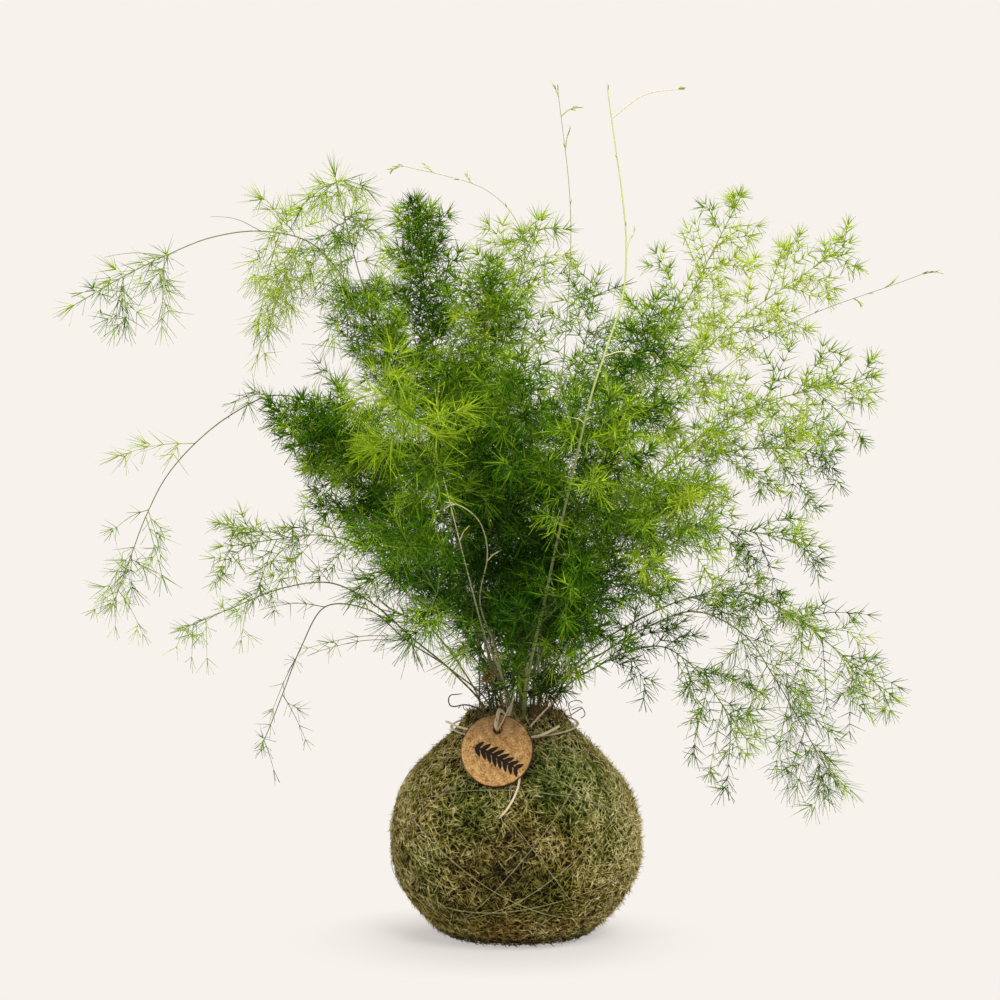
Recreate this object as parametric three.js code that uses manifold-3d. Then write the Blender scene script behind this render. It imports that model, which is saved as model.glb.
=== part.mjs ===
import * as THREE from 'three';
import { mergeVertices } from 'three/addons/utils/BufferGeometryUtils.js';
import Module from 'manifold-3d';

const wasm = await Module();
wasm.setup();

// Driving dimensions, in millimetres, with Z up and the origin at the centre of the ball's flat base
const BASE_RADIUS = 36;
const BELLY_RADIUS = 64;
const BELLY_HEIGHT = 47;
const NECK_RADIUS = 29;
const NECK_HEIGHT = 117;
const BELLY_POWER = 2.15;
const SHOULDER_POWER = 1.47;
const LUMP_HEIGHT = 1.1;
const MOSS_THICKNESS = 5;
const MOSS_ROWS = 12;
const NECK_OPENING = 24;
const GAP = 0.35;

const SOIL_TOP = 113;
const HOLE_RADIUS = 1.6;
const STEM_DEPTH = 11;
const CROWN_HEIGHT = 92;
const CROWN_RADII = [20, 20, 7];
const STORAGE_ROOTS = 4;

const THREAD_RADIUS = 0.35;
const RAFFIA_RADIUS = 0.65;
const RAFFIA_RING_HEIGHT = 109;

const TAG_RADIUS = 18.5;
const TAG_THICKNESS = 3.2;
const TAG_HOLE_RADIUS = 2;
const TAG_HOLE_OFFSET = 10.5;
const TAG_CENTRE = [-9.3, 103];
const TAG_TURN = THREE.MathUtils.degToRad(-10);
const TAG_TILT = THREE.MathUtils.degToRad(17);

const STEM_SPACING = 3.0;
const STEM_RADIUS = 0.85;
const TIP_RADIUS = 0.5;
const BRANCH_RADIUS = 0.5;
const NODE_LENGTH = 1.1;
const LONGEST_SPAN = 34;
const NEEDLE_LENGTH = 10;
const NEEDLE_RADIUS = 0.3;
const NEEDLE_CLEARANCE = 0.3;
const GOLDEN_ANGLE = Math.PI * (3 - Math.sqrt(5));

// Leafy stems: points from above the neck to the tip, the longest side branch, how yellow the green is
const FRONDS = [
  {
    name: 'arching_left', reach: 60, lime: 0.45,
    path: [[-57, 5, 277], [-100, 11, 353], [-145, 14, 362], [-188, 16, 347], [-226, 18, 326]],
  },
  { name: 'riser_left', path: [[-51, -20, 269], [-76, -35, 335], [-90, -40, 391]], reach: 48, lime: 0.45 },
  {
    name: 'long_arch_left', reach: 56, lime: 0.4,
    path: [[-60, 40, 237], [-105, 52, 272], [-140, 58, 271], [-185, 64, 232], [-214, 70, 165]],
  },
  { name: 'low_left', path: [[-46, -15, 150], [-97, -28, 187], [-166, -40, 166]], reach: 52, lime: 0.35 },
  { name: 'hanging_left', path: [[-48, 40, 140], [-98, 66, 164], [-135, 80, 88]], reach: 46, lime: 0.35 },
  { name: 'layered_left', path: [[-51, -40, 200], [-83, -55, 259], [-117, -65, 276]], reach: 52, lime: 0.1 },
  { name: 'side_left', path: [[-47, 20, 161], [-86, 30, 202], [-151, 35, 198]], reach: 52, lime: 0.4 },
  { name: 'spire', path: [[-31, 20, 224], [-45, 25, 312], [-50, 25, 376]], reach: 48, lime: 0.05 },
  { name: 'round_top', path: [[-18, -20, 218], [-18, -35, 295], [-13, -35, 348]], reach: 52, lime: 0.1 },
  { name: 'middle_top', path: [[-5, 25, 223], [7, 35, 311], [13, 35, 366]], reach: 50, lime: 0.4 },
  { name: 'middle_back', path: [[4, 60, 220], [32, 85, 282], [44, 95, 335]], reach: 52, lime: 0.3 },
  { name: 'middle_right', path: [[10, -25, 218], [47, -45, 281], [69, -50, 329]], reach: 54, lime: 0.3 },
  { name: 'lime_right', path: [[31, 20, 213], [98, 33, 300], [172, 40, 355]], reach: 60, lime: 0.95 },
  { name: 'high_right', path: [[18, 60, 198], [78, 90, 297], [120, 100, 377]], reach: 56, lime: 0.8 },
  { name: 'outer_right', path: [[35, -30, 198], [101, -55, 270], [174, -60, 293]], reach: 58, lime: 0.75 },
  { name: 'back_right', path: [[32, 50, 178], [99, 80, 239], [170, 90, 243]], reach: 56, lime: 0.5 },
  { name: 'front_right', path: [[35, -30, 173], [86, -65, 218], [147, -75, 211]], reach: 56, lime: 0.35 },
  { name: 'low_arch_right', path: [[46, -10, 155], [117, -16, 180], [189, -20, 130]], reach: 56, lime: 0.3 },
  { name: 'hanging_right', path: [[44, 30, 141], [110, 53, 158], [170, 62, 70]], reach: 52, lime: 0.35 },
  { name: 'low_right', path: [[38, -35, 143], [78, -60, 157], [115, -70, 113]], reach: 46, lime: 0.3 },
  { name: 'lime_front', path: [[-25, -60, 197], [-44, -110, 262], [-66, -130, 299]], reach: 44, lime: 0.7 },
  { name: 'front_middle', path: [[-4, -60, 202], [-1, -105, 261], [2, -120, 306]], reach: 46, lime: 0.3 },
  { name: 'front_high', path: [[7, -60, 192], [31, -110, 237], [45, -130, 287]], reach: 46, lime: 0.35 },
  { name: 'front_side', path: [[14, -55, 171], [50, -105, 208], [83, -120, 248]], reach: 48, lime: 0.4 },
  { name: 'front_left', path: [[-18, -60, 157], [-37, -105, 188], [-58, -125, 229]], reach: 44, lime: 0.3 },
  { name: 'front_low', path: [[2, -60, 157], [19, -110, 184], [32, -140, 197]], reach: 40, lime: 0.25 },
  { name: 'back_left', path: [[-35, 60, 185], [-75, 110, 240], [-110, 145, 245]], reach: 54, lime: 0.3 },
  { name: 'back_middle', path: [[-8, 75, 195], [-20, 130, 255], [-30, 165, 265]], reach: 54, lime: 0.35 },
  { name: 'back_side', path: [[25, 75, 175], [60, 125, 215], [90, 160, 205]], reach: 52, lime: 0.4 },
  { name: 'back_low', path: [[5, 70, 150], [12, 125, 175], [15, 170, 140]], reach: 48, lime: 0.3 },
];

// Young stems with a few short needles, thin pale ones, and brown dead ones
const SHOOTS = [
  {
    name: 'bare_shoot_tall', radius: 0.95, color: 0x9dae5c,
    path: [[14, -75, 184], [35, -126, 287], [52, -125, 350], [43, -118, 436]],
  },
  {
    name: 'bare_shoot_thin', radius: 0.6, color: 0x8f9a5a,
    path: [[18, 45, 221], [29, 50, 355], [22, 50, 437]],
  },
  {
    name: 'budding_twig', radius: 0.6, color: 0x9bb04a,
    path: [[2, 30, 249], [6, 26, 345], [-12, 20, 382], [-59, 12, 397]],
  },
  {
    name: 'trailing_twig', radius: 0.6, color: 0x8f9a5a,
    path: [[38, 5, 215], [120, 9, 303], [210, 10, 342]],
  },
  {
    name: 'pale_stem_straight', radius: 0.6, color: 0xa9a878,
    path: [[-15, -60, 162], [-23, -90, 196], [-35, -118, 248]],
  },
  {
    name: 'pale_stem_curly', radius: 0.6, color: 0xb4a97a,
    path: [[-12, -52, 161], [-18, -75, 184], [-14, -95, 212], [-22, -106, 233], [-33, -108, 236]],
  },
  {
    name: 'dead_stem_left', radius: 0.6, needle: 0, color: 0x7a5a3a,
    path: [[-12, -22, 131], [-22, -30, 150]],
  },
  { name: 'dead_stem_middle', radius: 0.6, color: 0x8a6842, path: [[-8, -26, 132], [-13, -36, 156]] },
  {
    name: 'dead_stem_curled', radius: 0.6, needle: 0, color: 0x4e4234,
    path: [[-24, -12, 121], [-33, -14, 121], [-34, -13, 126], [-29, -12, 127]],
  },
  { name: 'dead_spray', radius: 0.7, color: 0x9a5a3c, path: [[17, -20, 131], [29, -30, 148]] },
];
const STEM_COUNT = FRONDS.length + SHOOTS.length;

const COLOURS = {
  soil: { color: 0x3b2b1f, roughness: 1 },
  root: { color: 0xb89a6a, roughness: 0.9 },
  moss: { color: 0x5d5a2f, roughness: 1 },
  thread: { color: 0xb9b39a, roughness: 0.8 },
  raffia: { color: 0xd8c08c, roughness: 0.75 },
  wood: { color: 0xa87a48, roughness: 0.7 },
};
const DARK_GREEN = new THREE.Color(0x3f6b1c);
const LIME_GREEN = new THREE.Color(0xa8c24a);

const plant = new THREE.Group();

// Shared helpers
function seededDraw(seed) {
  let state = seed >>> 0;
  return () => {
    state = (state + 0x6d2b79f5) >>> 0;
    let word = Math.imul(state ^ (state >>> 15), state | 1);
    word ^= word + Math.imul(word ^ (word >>> 7), word | 61);
    return ((word ^ (word >>> 14)) >>> 0) / 4294967296;
  };
}

function addPiece(name, geometry, look) {
  const material = new THREE.MeshStandardMaterial({ metalness: 0, ...look });
  const mesh = new THREE.Mesh(geometry, material);
  mesh.name = name;
  plant.add(mesh);
}

function indexedGeometry(positions, triangles) {
  const geometry = new THREE.BufferGeometry();
  geometry.setAttribute('position', new THREE.Float32BufferAttribute(positions, 3));
  geometry.setIndex(triangles);
  return geometry;
}

// Merges shared vertices, drops collapsed triangles and turns the faces outward
function solidOf(geometry) {
  geometry.deleteAttribute('normal');
  geometry.deleteAttribute('uv');
  const merged = mergeVertices(geometry, 1e-4);
  const positions = merged.attributes.position.array;
  const index = merged.index.array;
  const kept = [];
  for (let i = 0; i < index.length; i += 3) {
    const [a, b, c] = [index[i], index[i + 1], index[i + 2]];
    if (a !== b && b !== c && a !== c) kept.push(a, b, c);
  }
  let solid = manifoldFrom(positions, kept);
  if (solid.volume() < 0) solid = manifoldFrom(positions, kept.reverse());
  return solid;
}

function manifoldFrom(positions, triangles) {
  const mesh = new wasm.Mesh({
    numProp: 3,
    vertProperties: new Float32Array(positions),
    triVerts: new Uint32Array(triangles),
  });
  mesh.merge();
  return new wasm.Manifold(mesh);
}

function geometryOf(solid) {
  const mesh = solid.getMesh();
  return indexedGeometry(Array.from(mesh.vertProperties), Array.from(mesh.triVerts));
}

// A rod of even section along a list of points; a closed one joins its last point to its first
function rodAlong(points, radii, sides, outward, closed = false) {
  const positions = [];
  const triangles = [];
  const count = points.length;
  let out = null;
  for (let i = 0; i < count; i += 1) {
    const before = points[closed ? (i + count - 1) % count : Math.max(i - 1, 0)];
    const after = points[closed ? (i + 1) % count : Math.min(i + 1, count - 1)];
    const along = after.clone().sub(before).normalize();
    if (closed || i === 0) out = outward(points[i]);
    out = out.clone().addScaledVector(along, -out.dot(along)).normalize();
    const across = along.clone().cross(out);
    const radius = Array.isArray(radii) ? radii[i] : radii;
    for (let k = 0; k < sides; k += 1) {
      const angle = (2 * Math.PI * k) / sides;
      const vertex = points[i].clone();
      vertex.addScaledVector(out, radius * Math.cos(angle));
      vertex.addScaledVector(across, radius * Math.sin(angle));
      positions.push(...vertex.toArray());
    }
  }
  const spans = closed ? count : count - 1;
  for (let i = 0; i < spans; i += 1) {
    const low = i * sides;
    const high = ((i + 1) % count) * sides;
    for (let k = 0; k < sides; k += 1) {
      const next = (k + 1) % sides;
      triangles.push(low + k, low + next, high + next, low + k, high + next, high + k);
    }
  }
  if (!closed) {
    const last = (count - 1) * sides;
    for (let k = 1; k < sides - 1; k += 1) {
      triangles.push(0, k + 1, k, last, last + k, last + k + 1);
    }
  }
  return solidOf(indexedGeometry(positions, triangles));
}

const awayFromAxis = (point) => new THREE.Vector3(point.x, point.y, 0);
const upward = () => new THREE.Vector3(0, 0, 1);

// The ball's outline: a flattened belly that draws in to the neck, with soft lumps
function mossRadius(height) {
  if (height <= BELLY_HEIGHT) {
    const below = 1 - Math.max(height, 0) / BELLY_HEIGHT;
    return BASE_RADIUS + (BELLY_RADIUS - BASE_RADIUS) * (1 - below ** BELLY_POWER);
  }
  const above = Math.min((height - BELLY_HEIGHT) / (NECK_HEIGHT - BELLY_HEIGHT), 1);
  const fall = 0.5 + 0.5 * Math.cos(Math.PI * above ** SHOULDER_POWER);
  return NECK_RADIUS + (BELLY_RADIUS - NECK_RADIUS) * fall;
}

function mossLump(angle, height) {
  const fade = Math.sin(Math.PI * THREE.MathUtils.clamp(height / NECK_HEIGHT, 0, 1));
  const wave = Math.sin(3 * angle + height / 17) + 0.7 * Math.sin(5 * angle - height / 11 + 1.3);
  return LUMP_HEIGHT * fade * wave * 0.6;
}

// The faceted moss, which is straight between its rows of vertices
function mossSurface(angle, height) {
  const rowHeight = NECK_HEIGHT / MOSS_ROWS;
  const low = THREE.MathUtils.clamp(Math.floor(height / rowHeight), 0, MOSS_ROWS - 1) * rowHeight;
  const share = THREE.MathUtils.clamp((height - low) / rowHeight, 0, 1);
  const lowRadius = mossRadius(low) + mossLump(angle, low);
  const highRadius = mossRadius(low + rowHeight) + mossLump(angle, low + rowHeight);
  return lowRadius + (highRadius - lowRadius) * share;
}

// Moss blanket, revolved and then made lumpy on the outside
function mossSolid() {
  const innerRows = 5;
  const profile = [new THREE.Vector2(0, 0)];
  for (let i = 0; i <= MOSS_ROWS; i += 1) {
    const height = (NECK_HEIGHT * i) / MOSS_ROWS;
    profile.push(new THREE.Vector2(mossRadius(height), height));
  }
  profile.push(new THREE.Vector2(NECK_OPENING, NECK_HEIGHT - 0.5));
  profile.push(...innerProfile(innerRows, 0));
  const geometry = new THREE.LatheGeometry(profile, 24).rotateX(Math.PI / 2);
  const position = geometry.attributes.position;
  for (let i = 0; i < position.count; i += 1) {
    const point = new THREE.Vector3().fromBufferAttribute(position, i);
    const radius = Math.hypot(point.x, point.y);
    if (radius > mossRadius(point.z) - 0.01 && point.z > 0.01) {
      const stretch = 1 + mossLump(Math.atan2(point.y, point.x), point.z) / radius;
      position.setXYZ(i, point.x * stretch, point.y * stretch, point.z);
    }
  }
  return solidOf(geometry);
}

// The cavity's outline from the neck down to the axis, moved inward for the soil that fills it
function innerProfile(rows, inset) {
  const floor = MOSS_THICKNESS + inset;
  const points = [];
  for (let i = 0; i <= rows; i += 1) {
    const height = SOIL_TOP - 2 - ((SOIL_TOP - 2 - floor) * i) / rows;
    const radius = mossRadius(height) - MOSS_THICKNESS - inset;
    points.push(new THREE.Vector2(radius, height));
  }
  points.push(new THREE.Vector2(0, floor));
  return points;
}

// Root crown: a flattened rhizome with storage roots, grown by a margin to make its pocket
function crownSolid(margin) {
  const crown = new THREE.IcosahedronGeometry(1, 1);
  crown.scale(...CROWN_RADII.map((radius) => radius + margin));
  let solid = solidOf(crown.translate(0, 0, CROWN_HEIGHT));
  for (let i = 0; i < STORAGE_ROOTS; i += 1) {
    const angle = i * ((2 * Math.PI) / STORAGE_ROOTS) + 0.4;
    const heading = new THREE.Vector3(Math.cos(angle), Math.sin(angle), 0);
    const points = [[8, -1], [22, -14], [31, -34], [33, -55]].map(([out, down]) => {
      const point = heading.clone().multiplyScalar(out);
      return point.setZ(CROWN_HEIGHT + down - 3 * (i % 2));
    });
    points[3].z -= margin;
    const radii = [2, 3.4, 3.2, 1].map((radius) => radius + margin);
    solid = solid.add(rodAlong(points, radii, 4, upward));
  }
  return solid;
}

// Feet of the stems, spread like the seeds of a sunflower
function stemFoot(index) {
  const radius = STEM_SPACING * Math.sqrt(index + 0.4);
  const angle = index * GOLDEN_ANGLE;
  return new THREE.Vector3(radius * Math.cos(angle), radius * Math.sin(angle), SOIL_TOP);
}

function soilSolid() {
  const rim = new THREE.Vector2(NECK_OPENING - GAP, SOIL_TOP);
  const profile = [new THREE.Vector2(0, SOIL_TOP), rim, ...innerProfile(5, GAP)];
  let solid = solidOf(new THREE.LatheGeometry(profile, 24).rotateX(Math.PI / 2));
  solid = solid.subtract(crownSolid(GAP));
  for (let i = 0; i < STEM_COUNT; i += 1) {
    const foot = stemFoot(i);
    const hole = new THREE.CylinderGeometry(HOLE_RADIUS, HOLE_RADIUS, 30, 5, 1);
    hole.rotateX(Math.PI / 2).translate(foot.x, foot.y, CROWN_HEIGHT + 15);
    solid = solid.subtract(solidOf(hole));
  }
  return solid;
}

// One turn of thread: a tilted ring that follows the moss just clear of it
function threadTurn(tilt, heading, centreHeight) {
  const steps = 30;
  const across = new THREE.Vector3(-Math.sin(heading), Math.cos(heading), 0);
  const along = new THREE.Vector3(Math.cos(heading), Math.sin(heading), 0);
  along.multiplyScalar(Math.cos(tilt)).add(new THREE.Vector3(0, 0, Math.sin(tilt)));
  const points = [];
  for (let i = 0; i < steps; i += 1) {
    const turn = (2 * Math.PI * i) / steps;
    const ray = along.clone().multiplyScalar(Math.cos(turn)).addScaledVector(across, Math.sin(turn));
    points.push(onMoss(ray, centreHeight, THREAD_RADIUS + 0.55));
  }
  return rodAlong(points, THREAD_RADIUS, 3, awayFromAxis, true);
}

// Where a ray from the ball's axis leaves the moss, plus a clearance
function onMoss(ray, centreHeight, clearance) {
  let near = 0;
  let far = 150;
  for (let i = 0; i < 40; i += 1) {
    const middle = (near + far) / 2;
    const point = ray.clone().multiplyScalar(middle).add(new THREE.Vector3(0, 0, centreHeight));
    const inside = Math.hypot(point.x, point.y) < mossSurface(Math.atan2(point.y, point.x), point.z);
    if (inside) near = middle;
    else far = middle;
  }
  return ray.clone().multiplyScalar(far + clearance).add(new THREE.Vector3(0, 0, centreHeight));
}

function threadSolid() {
  const turns = [[0.62, 0.5, 50], [0.6, 2.6, 50], [0.55, 4.6, 52]];
  return turns.map((turn) => threadTurn(...turn)).reduce((net, turn) => net.add(turn));
}

// Tag: facing out and up, with its hole near the top, leaning on the shoulder of the ball
const tagFacing = new THREE.Vector3(
  Math.sin(TAG_TURN) * Math.cos(TAG_TILT), -Math.cos(TAG_TURN) * Math.cos(TAG_TILT), Math.sin(TAG_TILT));
const tagAcross = new THREE.Vector3(Math.cos(TAG_TURN), Math.sin(TAG_TURN), 0);
const tagUp = tagFacing.clone().cross(tagAcross).normalize();

function tagPoint(centre, across, up, out) {
  const point = centre.clone().addScaledVector(tagAcross, across);
  return point.addScaledVector(tagUp, up).addScaledVector(tagFacing, out);
}

// Moves the tag away from the axis until the rim of its back is clear of the moss
function tagCentre() {
  const centre = new THREE.Vector3(TAG_CENTRE[0], -30, TAG_CENTRE[1]);
  const touches = () => {
    for (let i = 0; i < 48; i += 1) {
      const angle = (2 * Math.PI * i) / 48;
      const rim = tagPoint(centre, TAG_RADIUS * Math.cos(angle), TAG_RADIUS * Math.sin(angle), 0);
      const surface = mossSurface(Math.atan2(rim.y, rim.x), rim.z);
      if (rim.z < NECK_HEIGHT && Math.hypot(rim.x, rim.y) < surface + GAP) return true;
    }
    return false;
  };
  while (touches()) centre.y -= 0.05;
  return centre;
}

function tagSolid(centre) {
  const disc = new THREE.CylinderGeometry(TAG_RADIUS, TAG_RADIUS, TAG_THICKNESS, 28);
  const hole = new THREE.CylinderGeometry(TAG_HOLE_RADIUS, TAG_HOLE_RADIUS, 2 * TAG_THICKNESS, 12);
  hole.translate(0, 0, -TAG_HOLE_OFFSET);
  const frame = new THREE.Matrix4().makeBasis(tagAcross, tagFacing, tagUp.clone().negate());
  frame.setPosition(tagPoint(centre, 0, 0, TAG_THICKNESS / 2));
  return solidOf(disc).subtract(solidOf(hole)).transform(frame.elements);
}

// Raffia: a ring round the neck, and a loop through the tag's hole that ends in two tails
function raffiaSolid(centre) {
  const ring = [];
  for (let i = 0; i < 20; i += 1) {
    const angle = (2 * Math.PI * i) / 20;
    const height = RAFFIA_RING_HEIGHT + 1.5 * Math.sin(angle + 0.6);
    const radius = mossSurface(angle, height) + RAFFIA_RADIUS + 0.6;
    ring.push(new THREE.Vector3(radius * Math.cos(angle), radius * Math.sin(angle), height));
  }
  let solid = rodAlong(ring, RAFFIA_RADIUS, 3, awayFromAxis, true);
  const front = TAG_THICKNESS + RAFFIA_RADIUS + GAP;
  const ringFront = ring[15];
  const knot = new THREE.Vector3(-4, -36, 119.5);
  const strands = [
    [
      ringFront, tagPoint(centre, 0, TAG_HOLE_OFFSET, -3), tagPoint(centre, 0, TAG_HOLE_OFFSET, 1.5),
      tagPoint(centre, 0.4, TAG_HOLE_OFFSET + 1, front + 0.5), tagPoint(centre, 0.6, TAG_RADIUS + 1, front),
      knot, new THREE.Vector3(-2.5, -29, 120.5), new THREE.Vector3(-1, -25.5, 127),
    ],
    [
      tagPoint(centre, 0, TAG_HOLE_OFFSET + 0.6, front), tagPoint(centre, 3.2, TAG_RADIUS - 1, front),
      tagPoint(centre, 5, TAG_RADIUS + 3.5, front - 1), tagPoint(centre, 5.5, TAG_RADIUS + 10, -1),
    ],
    [knot, new THREE.Vector3(-5, -36.5, 114), ringFront],
  ];
  for (const strand of strands) {
    solid = solid.add(rodAlong(strand, RAFFIA_RADIUS, 4, () => tagAcross));
  }
  return solid;
}

// Clearance: every limb and needle is kept as a capsule, in a coarse grid of cells
const CELL = 12;
const MOSS_ROOM = 3;
const TAG_ROOM = { top: NECK_HEIGHT + 12, reach: NECK_RADIUS + 16, front: -20 };
const capsuleGrid = new Map();

function eachCell(start, end, margin, visit) {
  const low = start.clone().min(end).subScalar(margin).divideScalar(CELL).floor();
  const high = start.clone().max(end).addScalar(margin).divideScalar(CELL).floor();
  for (let x = low.x; x <= high.x; x += 1) {
    for (let y = low.y; y <= high.y; y += 1) {
      for (let z = low.z; z <= high.z; z += 1) visit(`${x},${y},${z}`);
    }
  }
}

function keepCapsule(start, end, radius, frond, limb, whorl = null) {
  const capsule = { start, end, radius, frond, limb, whorl };
  eachCell(start, end, radius, (key) => {
    if (!capsuleGrid.has(key)) capsuleGrid.set(key, []);
    capsuleGrid.get(key).push(capsule);
  });
}

function keepLimb(rings, radius, frond, limb) {
  for (let i = 1; i < rings.length; i += 1) keepCapsule(rings[i - 1], rings[i], radius, frond, limb);
}

function segmentDistance(p, q, r, s) {
  const u = q.clone().sub(p);
  const v = s.clone().sub(r);
  const w = p.clone().sub(r);
  const [a, b, c, d, e] = [u.dot(u), u.dot(v), v.dot(v), u.dot(w), v.dot(w)];
  const scale = a * c - b * b;
  let onFirst = scale > 1e-9 ? THREE.MathUtils.clamp((b * e - c * d) / scale, 0, 1) : 0;
  const onSecond = THREE.MathUtils.clamp((b * onFirst + e) / c, 0, 1);
  onFirst = THREE.MathUtils.clamp((b * onSecond - d) / a, 0, 1);
  return u.multiplyScalar(onFirst).add(w).addScaledVector(v, -onSecond).length();
}

// True if a capsule is clear of the ball and of every kept capsule that isn't to be skipped
function isClear(start, end, radius, margin, skip) {
  for (const point of [start, end, start.clone().lerp(end, 0.5)]) {
    const reach = Math.hypot(point.x, point.y);
    if (point.z < NECK_HEIGHT + 1 && reach < mossRadius(point.z) + MOSS_ROOM) return false;
    if (point.z < TAG_ROOM.top && reach < TAG_ROOM.reach && point.y < TAG_ROOM.front) return false;
  }
  let clear = true;
  const seen = new Set();
  eachCell(start, end, radius + margin + 1, (key) => {
    if (!clear || !capsuleGrid.has(key)) return;
    for (const other of capsuleGrid.get(key)) {
      if (seen.has(other) || skip(other)) continue;
      seen.add(other);
      if (segmentDistance(start, end, other.start, other.end) < radius + other.radius + margin) {
        clear = false;
        return;
      }
    }
  });
  return clear;
}

// A stem's smooth line from its foot, upright at first, through the points of its path
function stemCurve(foot, path, lean) {
  const points = [foot, ...path.map((point) => new THREE.Vector3(...point))];
  const last = points.length - 1;
  const slopes = points.map((point, i) => {
    const ahead = points[Math.min(i + 1, last)];
    return ahead.clone().sub(points[Math.max(i - 1, 0)]).multiplyScalar(i === last ? 0.8 : 0.5);
  });
  slopes[0].add(new THREE.Vector3(lean[0], lean[1], 0)).setZ(points[1].distanceTo(foot));
  const samples = [];
  for (let span = 0; span < last; span += 1) {
    for (let i = span ? 1 : 0; i <= 16; i += 1) {
      const t = i / 16;
      const point = points[span].clone().multiplyScalar(2 * t ** 3 - 3 * t ** 2 + 1);
      point.addScaledVector(slopes[span], t ** 3 - 2 * t ** 2 + t);
      point.addScaledVector(points[span + 1], -2 * t ** 3 + 3 * t ** 2);
      point.addScaledVector(slopes[span + 1], t ** 3 - t ** 2);
      samples.push(point);
    }
  }
  return samples;
}

// A polyline that can be asked for the point at a length along it
function measured(points) {
  const lengths = [0];
  for (let i = 1; i < points.length; i += 1) {
    lengths.push(lengths[i - 1] + points[i].distanceTo(points[i - 1]));
  }
  return { points, lengths, total: lengths[lengths.length - 1] };
}

function pointAt(line, length) {
  let i = 1;
  while (i < line.points.length - 1 && line.lengths[i] < length) i += 1;
  const share = (length - line.lengths[i - 1]) / (line.lengths[i] - line.lengths[i - 1]);
  return line.points[i - 1].clone().lerp(line.points[i], share);
}

function directionAt(line, length) {
  const ahead = pointAt(line, Math.min(length + 1, line.total));
  return ahead.sub(pointAt(line, Math.max(length - 1, 0))).normalize();
}

// A grown solid: three-sided limbs whose side triangles can be raised into needles or other limbs
class Growth {
  constructor() {
    this.positions = [];
    this.faces = new Set();
    this.limbs = 0;
  }

  addRing(centre, along, out, radius) {
    const across = along.clone().cross(out).normalize();
    const ring = [];
    for (let k = 0; k < 3; k += 1) {
      const angle = (2 * Math.PI * k) / 3;
      const vertex = centre.clone().addScaledVector(out, radius * Math.cos(angle));
      vertex.addScaledVector(across, radius * Math.sin(angle));
      ring.push(this.positions.push(vertex) - 1);
    }
    return ring;
  }

  addFace(a, b, c, extra = {}) {
    const face = { ids: [a, b, c], ...extra };
    this.faces.add(face);
    return face;
  }

  // Joins two rings; the faces of a node are returned so that they can be raised
  joinRings(low, high, along) {
    const made = [];
    for (let k = 0; k < 3; k += 1) {
      const next = (k + 1) % 3;
      made.push(this.addFace(low[k], low[next], high[next], { along, forward: false }));
      made.push(this.addFace(low[k], high[next], high[k], { along, forward: true }));
    }
    return made;
  }

  centroid(face) {
    const [a, b, c] = face.ids.map((id) => this.positions[id]);
    return a.clone().add(b).add(c).divideScalar(3);
  }

  normal(face) {
    const [a, b, c] = face.ids.map((id) => this.positions[id]);
    return b.clone().sub(a).cross(c.clone().sub(a)).normalize();
  }

  // Replaces a face, or the last ring, by three faces that meet in a point
  raiseNeedle(face, apex) {
    this.faces.delete(face);
    const [a, b, c] = face.ids;
    const tip = this.positions.push(apex) - 1;
    this.addFace(a, b, tip);
    this.addFace(b, c, tip);
    this.addFace(c, a, tip);
  }

  // Grows a limb along a line; nodes are short stretches at the given lengths
  growLimb(line, radiusAt, stations, base) {
    let along = directionAt(line, 0);
    let out = new THREE.Vector3(1, 0, 0);
    let ring = null;
    if (base) {
      this.faces.delete(base);
      ring = base.ids;
      out = this.alignedOut(base, along);
    } else {
      out.addScaledVector(along, -out.dot(along)).normalize();
      ring = this.addRing(line.points[0], along, out, radiusAt(0));
      this.addFace(ring[0], ring[2], ring[1]);
    }
    const nodes = [];
    for (const station of stations) {
      along = directionAt(line, station.at);
      out.addScaledVector(along, -out.dot(along)).normalize();
      const next = this.addRing(pointAt(line, station.at), along, out, radiusAt(station.at));
      const faces = this.joinRings(ring, next, along);
      if (station.endsNode) nodes.push({ faces, along, at: station.at - NODE_LENGTH / 2 });
      ring = next;
    }
    const tip = pointAt(line, line.total).addScaledVector(along, 2);
    this.raiseNeedle(this.addFace(...ring), tip);
    return nodes;
  }

  // The ring direction that lines a limb's corners up with the corners of the face it grows from
  alignedOut(base, along) {
    const centre = this.centroid(base);
    const side = new THREE.Vector3(1, 0, 0).cross(along).normalize();
    const other = along.clone().cross(side);
    let sumX = 0;
    let sumY = 0;
    base.ids.forEach((id, k) => {
      const arm = this.positions[id].clone().sub(centre);
      const angle = Math.atan2(arm.dot(other), arm.dot(side)) - (2 * Math.PI * k) / 3;
      sumX += Math.cos(angle);
      sumY += Math.sin(angle);
    });
    const angle = Math.atan2(sumY, sumX);
    return side.multiplyScalar(Math.cos(angle)).addScaledVector(other, Math.sin(angle));
  }

  geometry() {
    const positions = this.positions.flatMap((point) => point.toArray());
    const triangles = [...this.faces].flatMap((face) => face.ids);
    return indexedGeometry(positions, triangles);
  }
}

// Lengths at which a limb has a ring: the ends of each node, and bends between them; a node ends the limb
function stationsFor(total, nodeStarts, longest, firstBend = 0) {
  const stations = firstBend ? [{ at: firstBend }] : [];
  let last = firstBend;
  const fill = (until) => {
    const pieces = Math.ceil((until - last) / longest);
    for (let i = 1; i < pieces; i += 1) stations.push({ at: last + ((until - last) * i) / pieces });
  };
  for (const start of nodeStarts) {
    fill(start);
    stations.push({ at: start });
    stations.push({ at: start + NODE_LENGTH, endsNode: true });
    last = start + NODE_LENGTH;
  }
  return stations;
}

const ringCentres = (line, stations) => [0, ...stations.map(({ at }) => at)].map((at) => pointAt(line, at));

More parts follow.
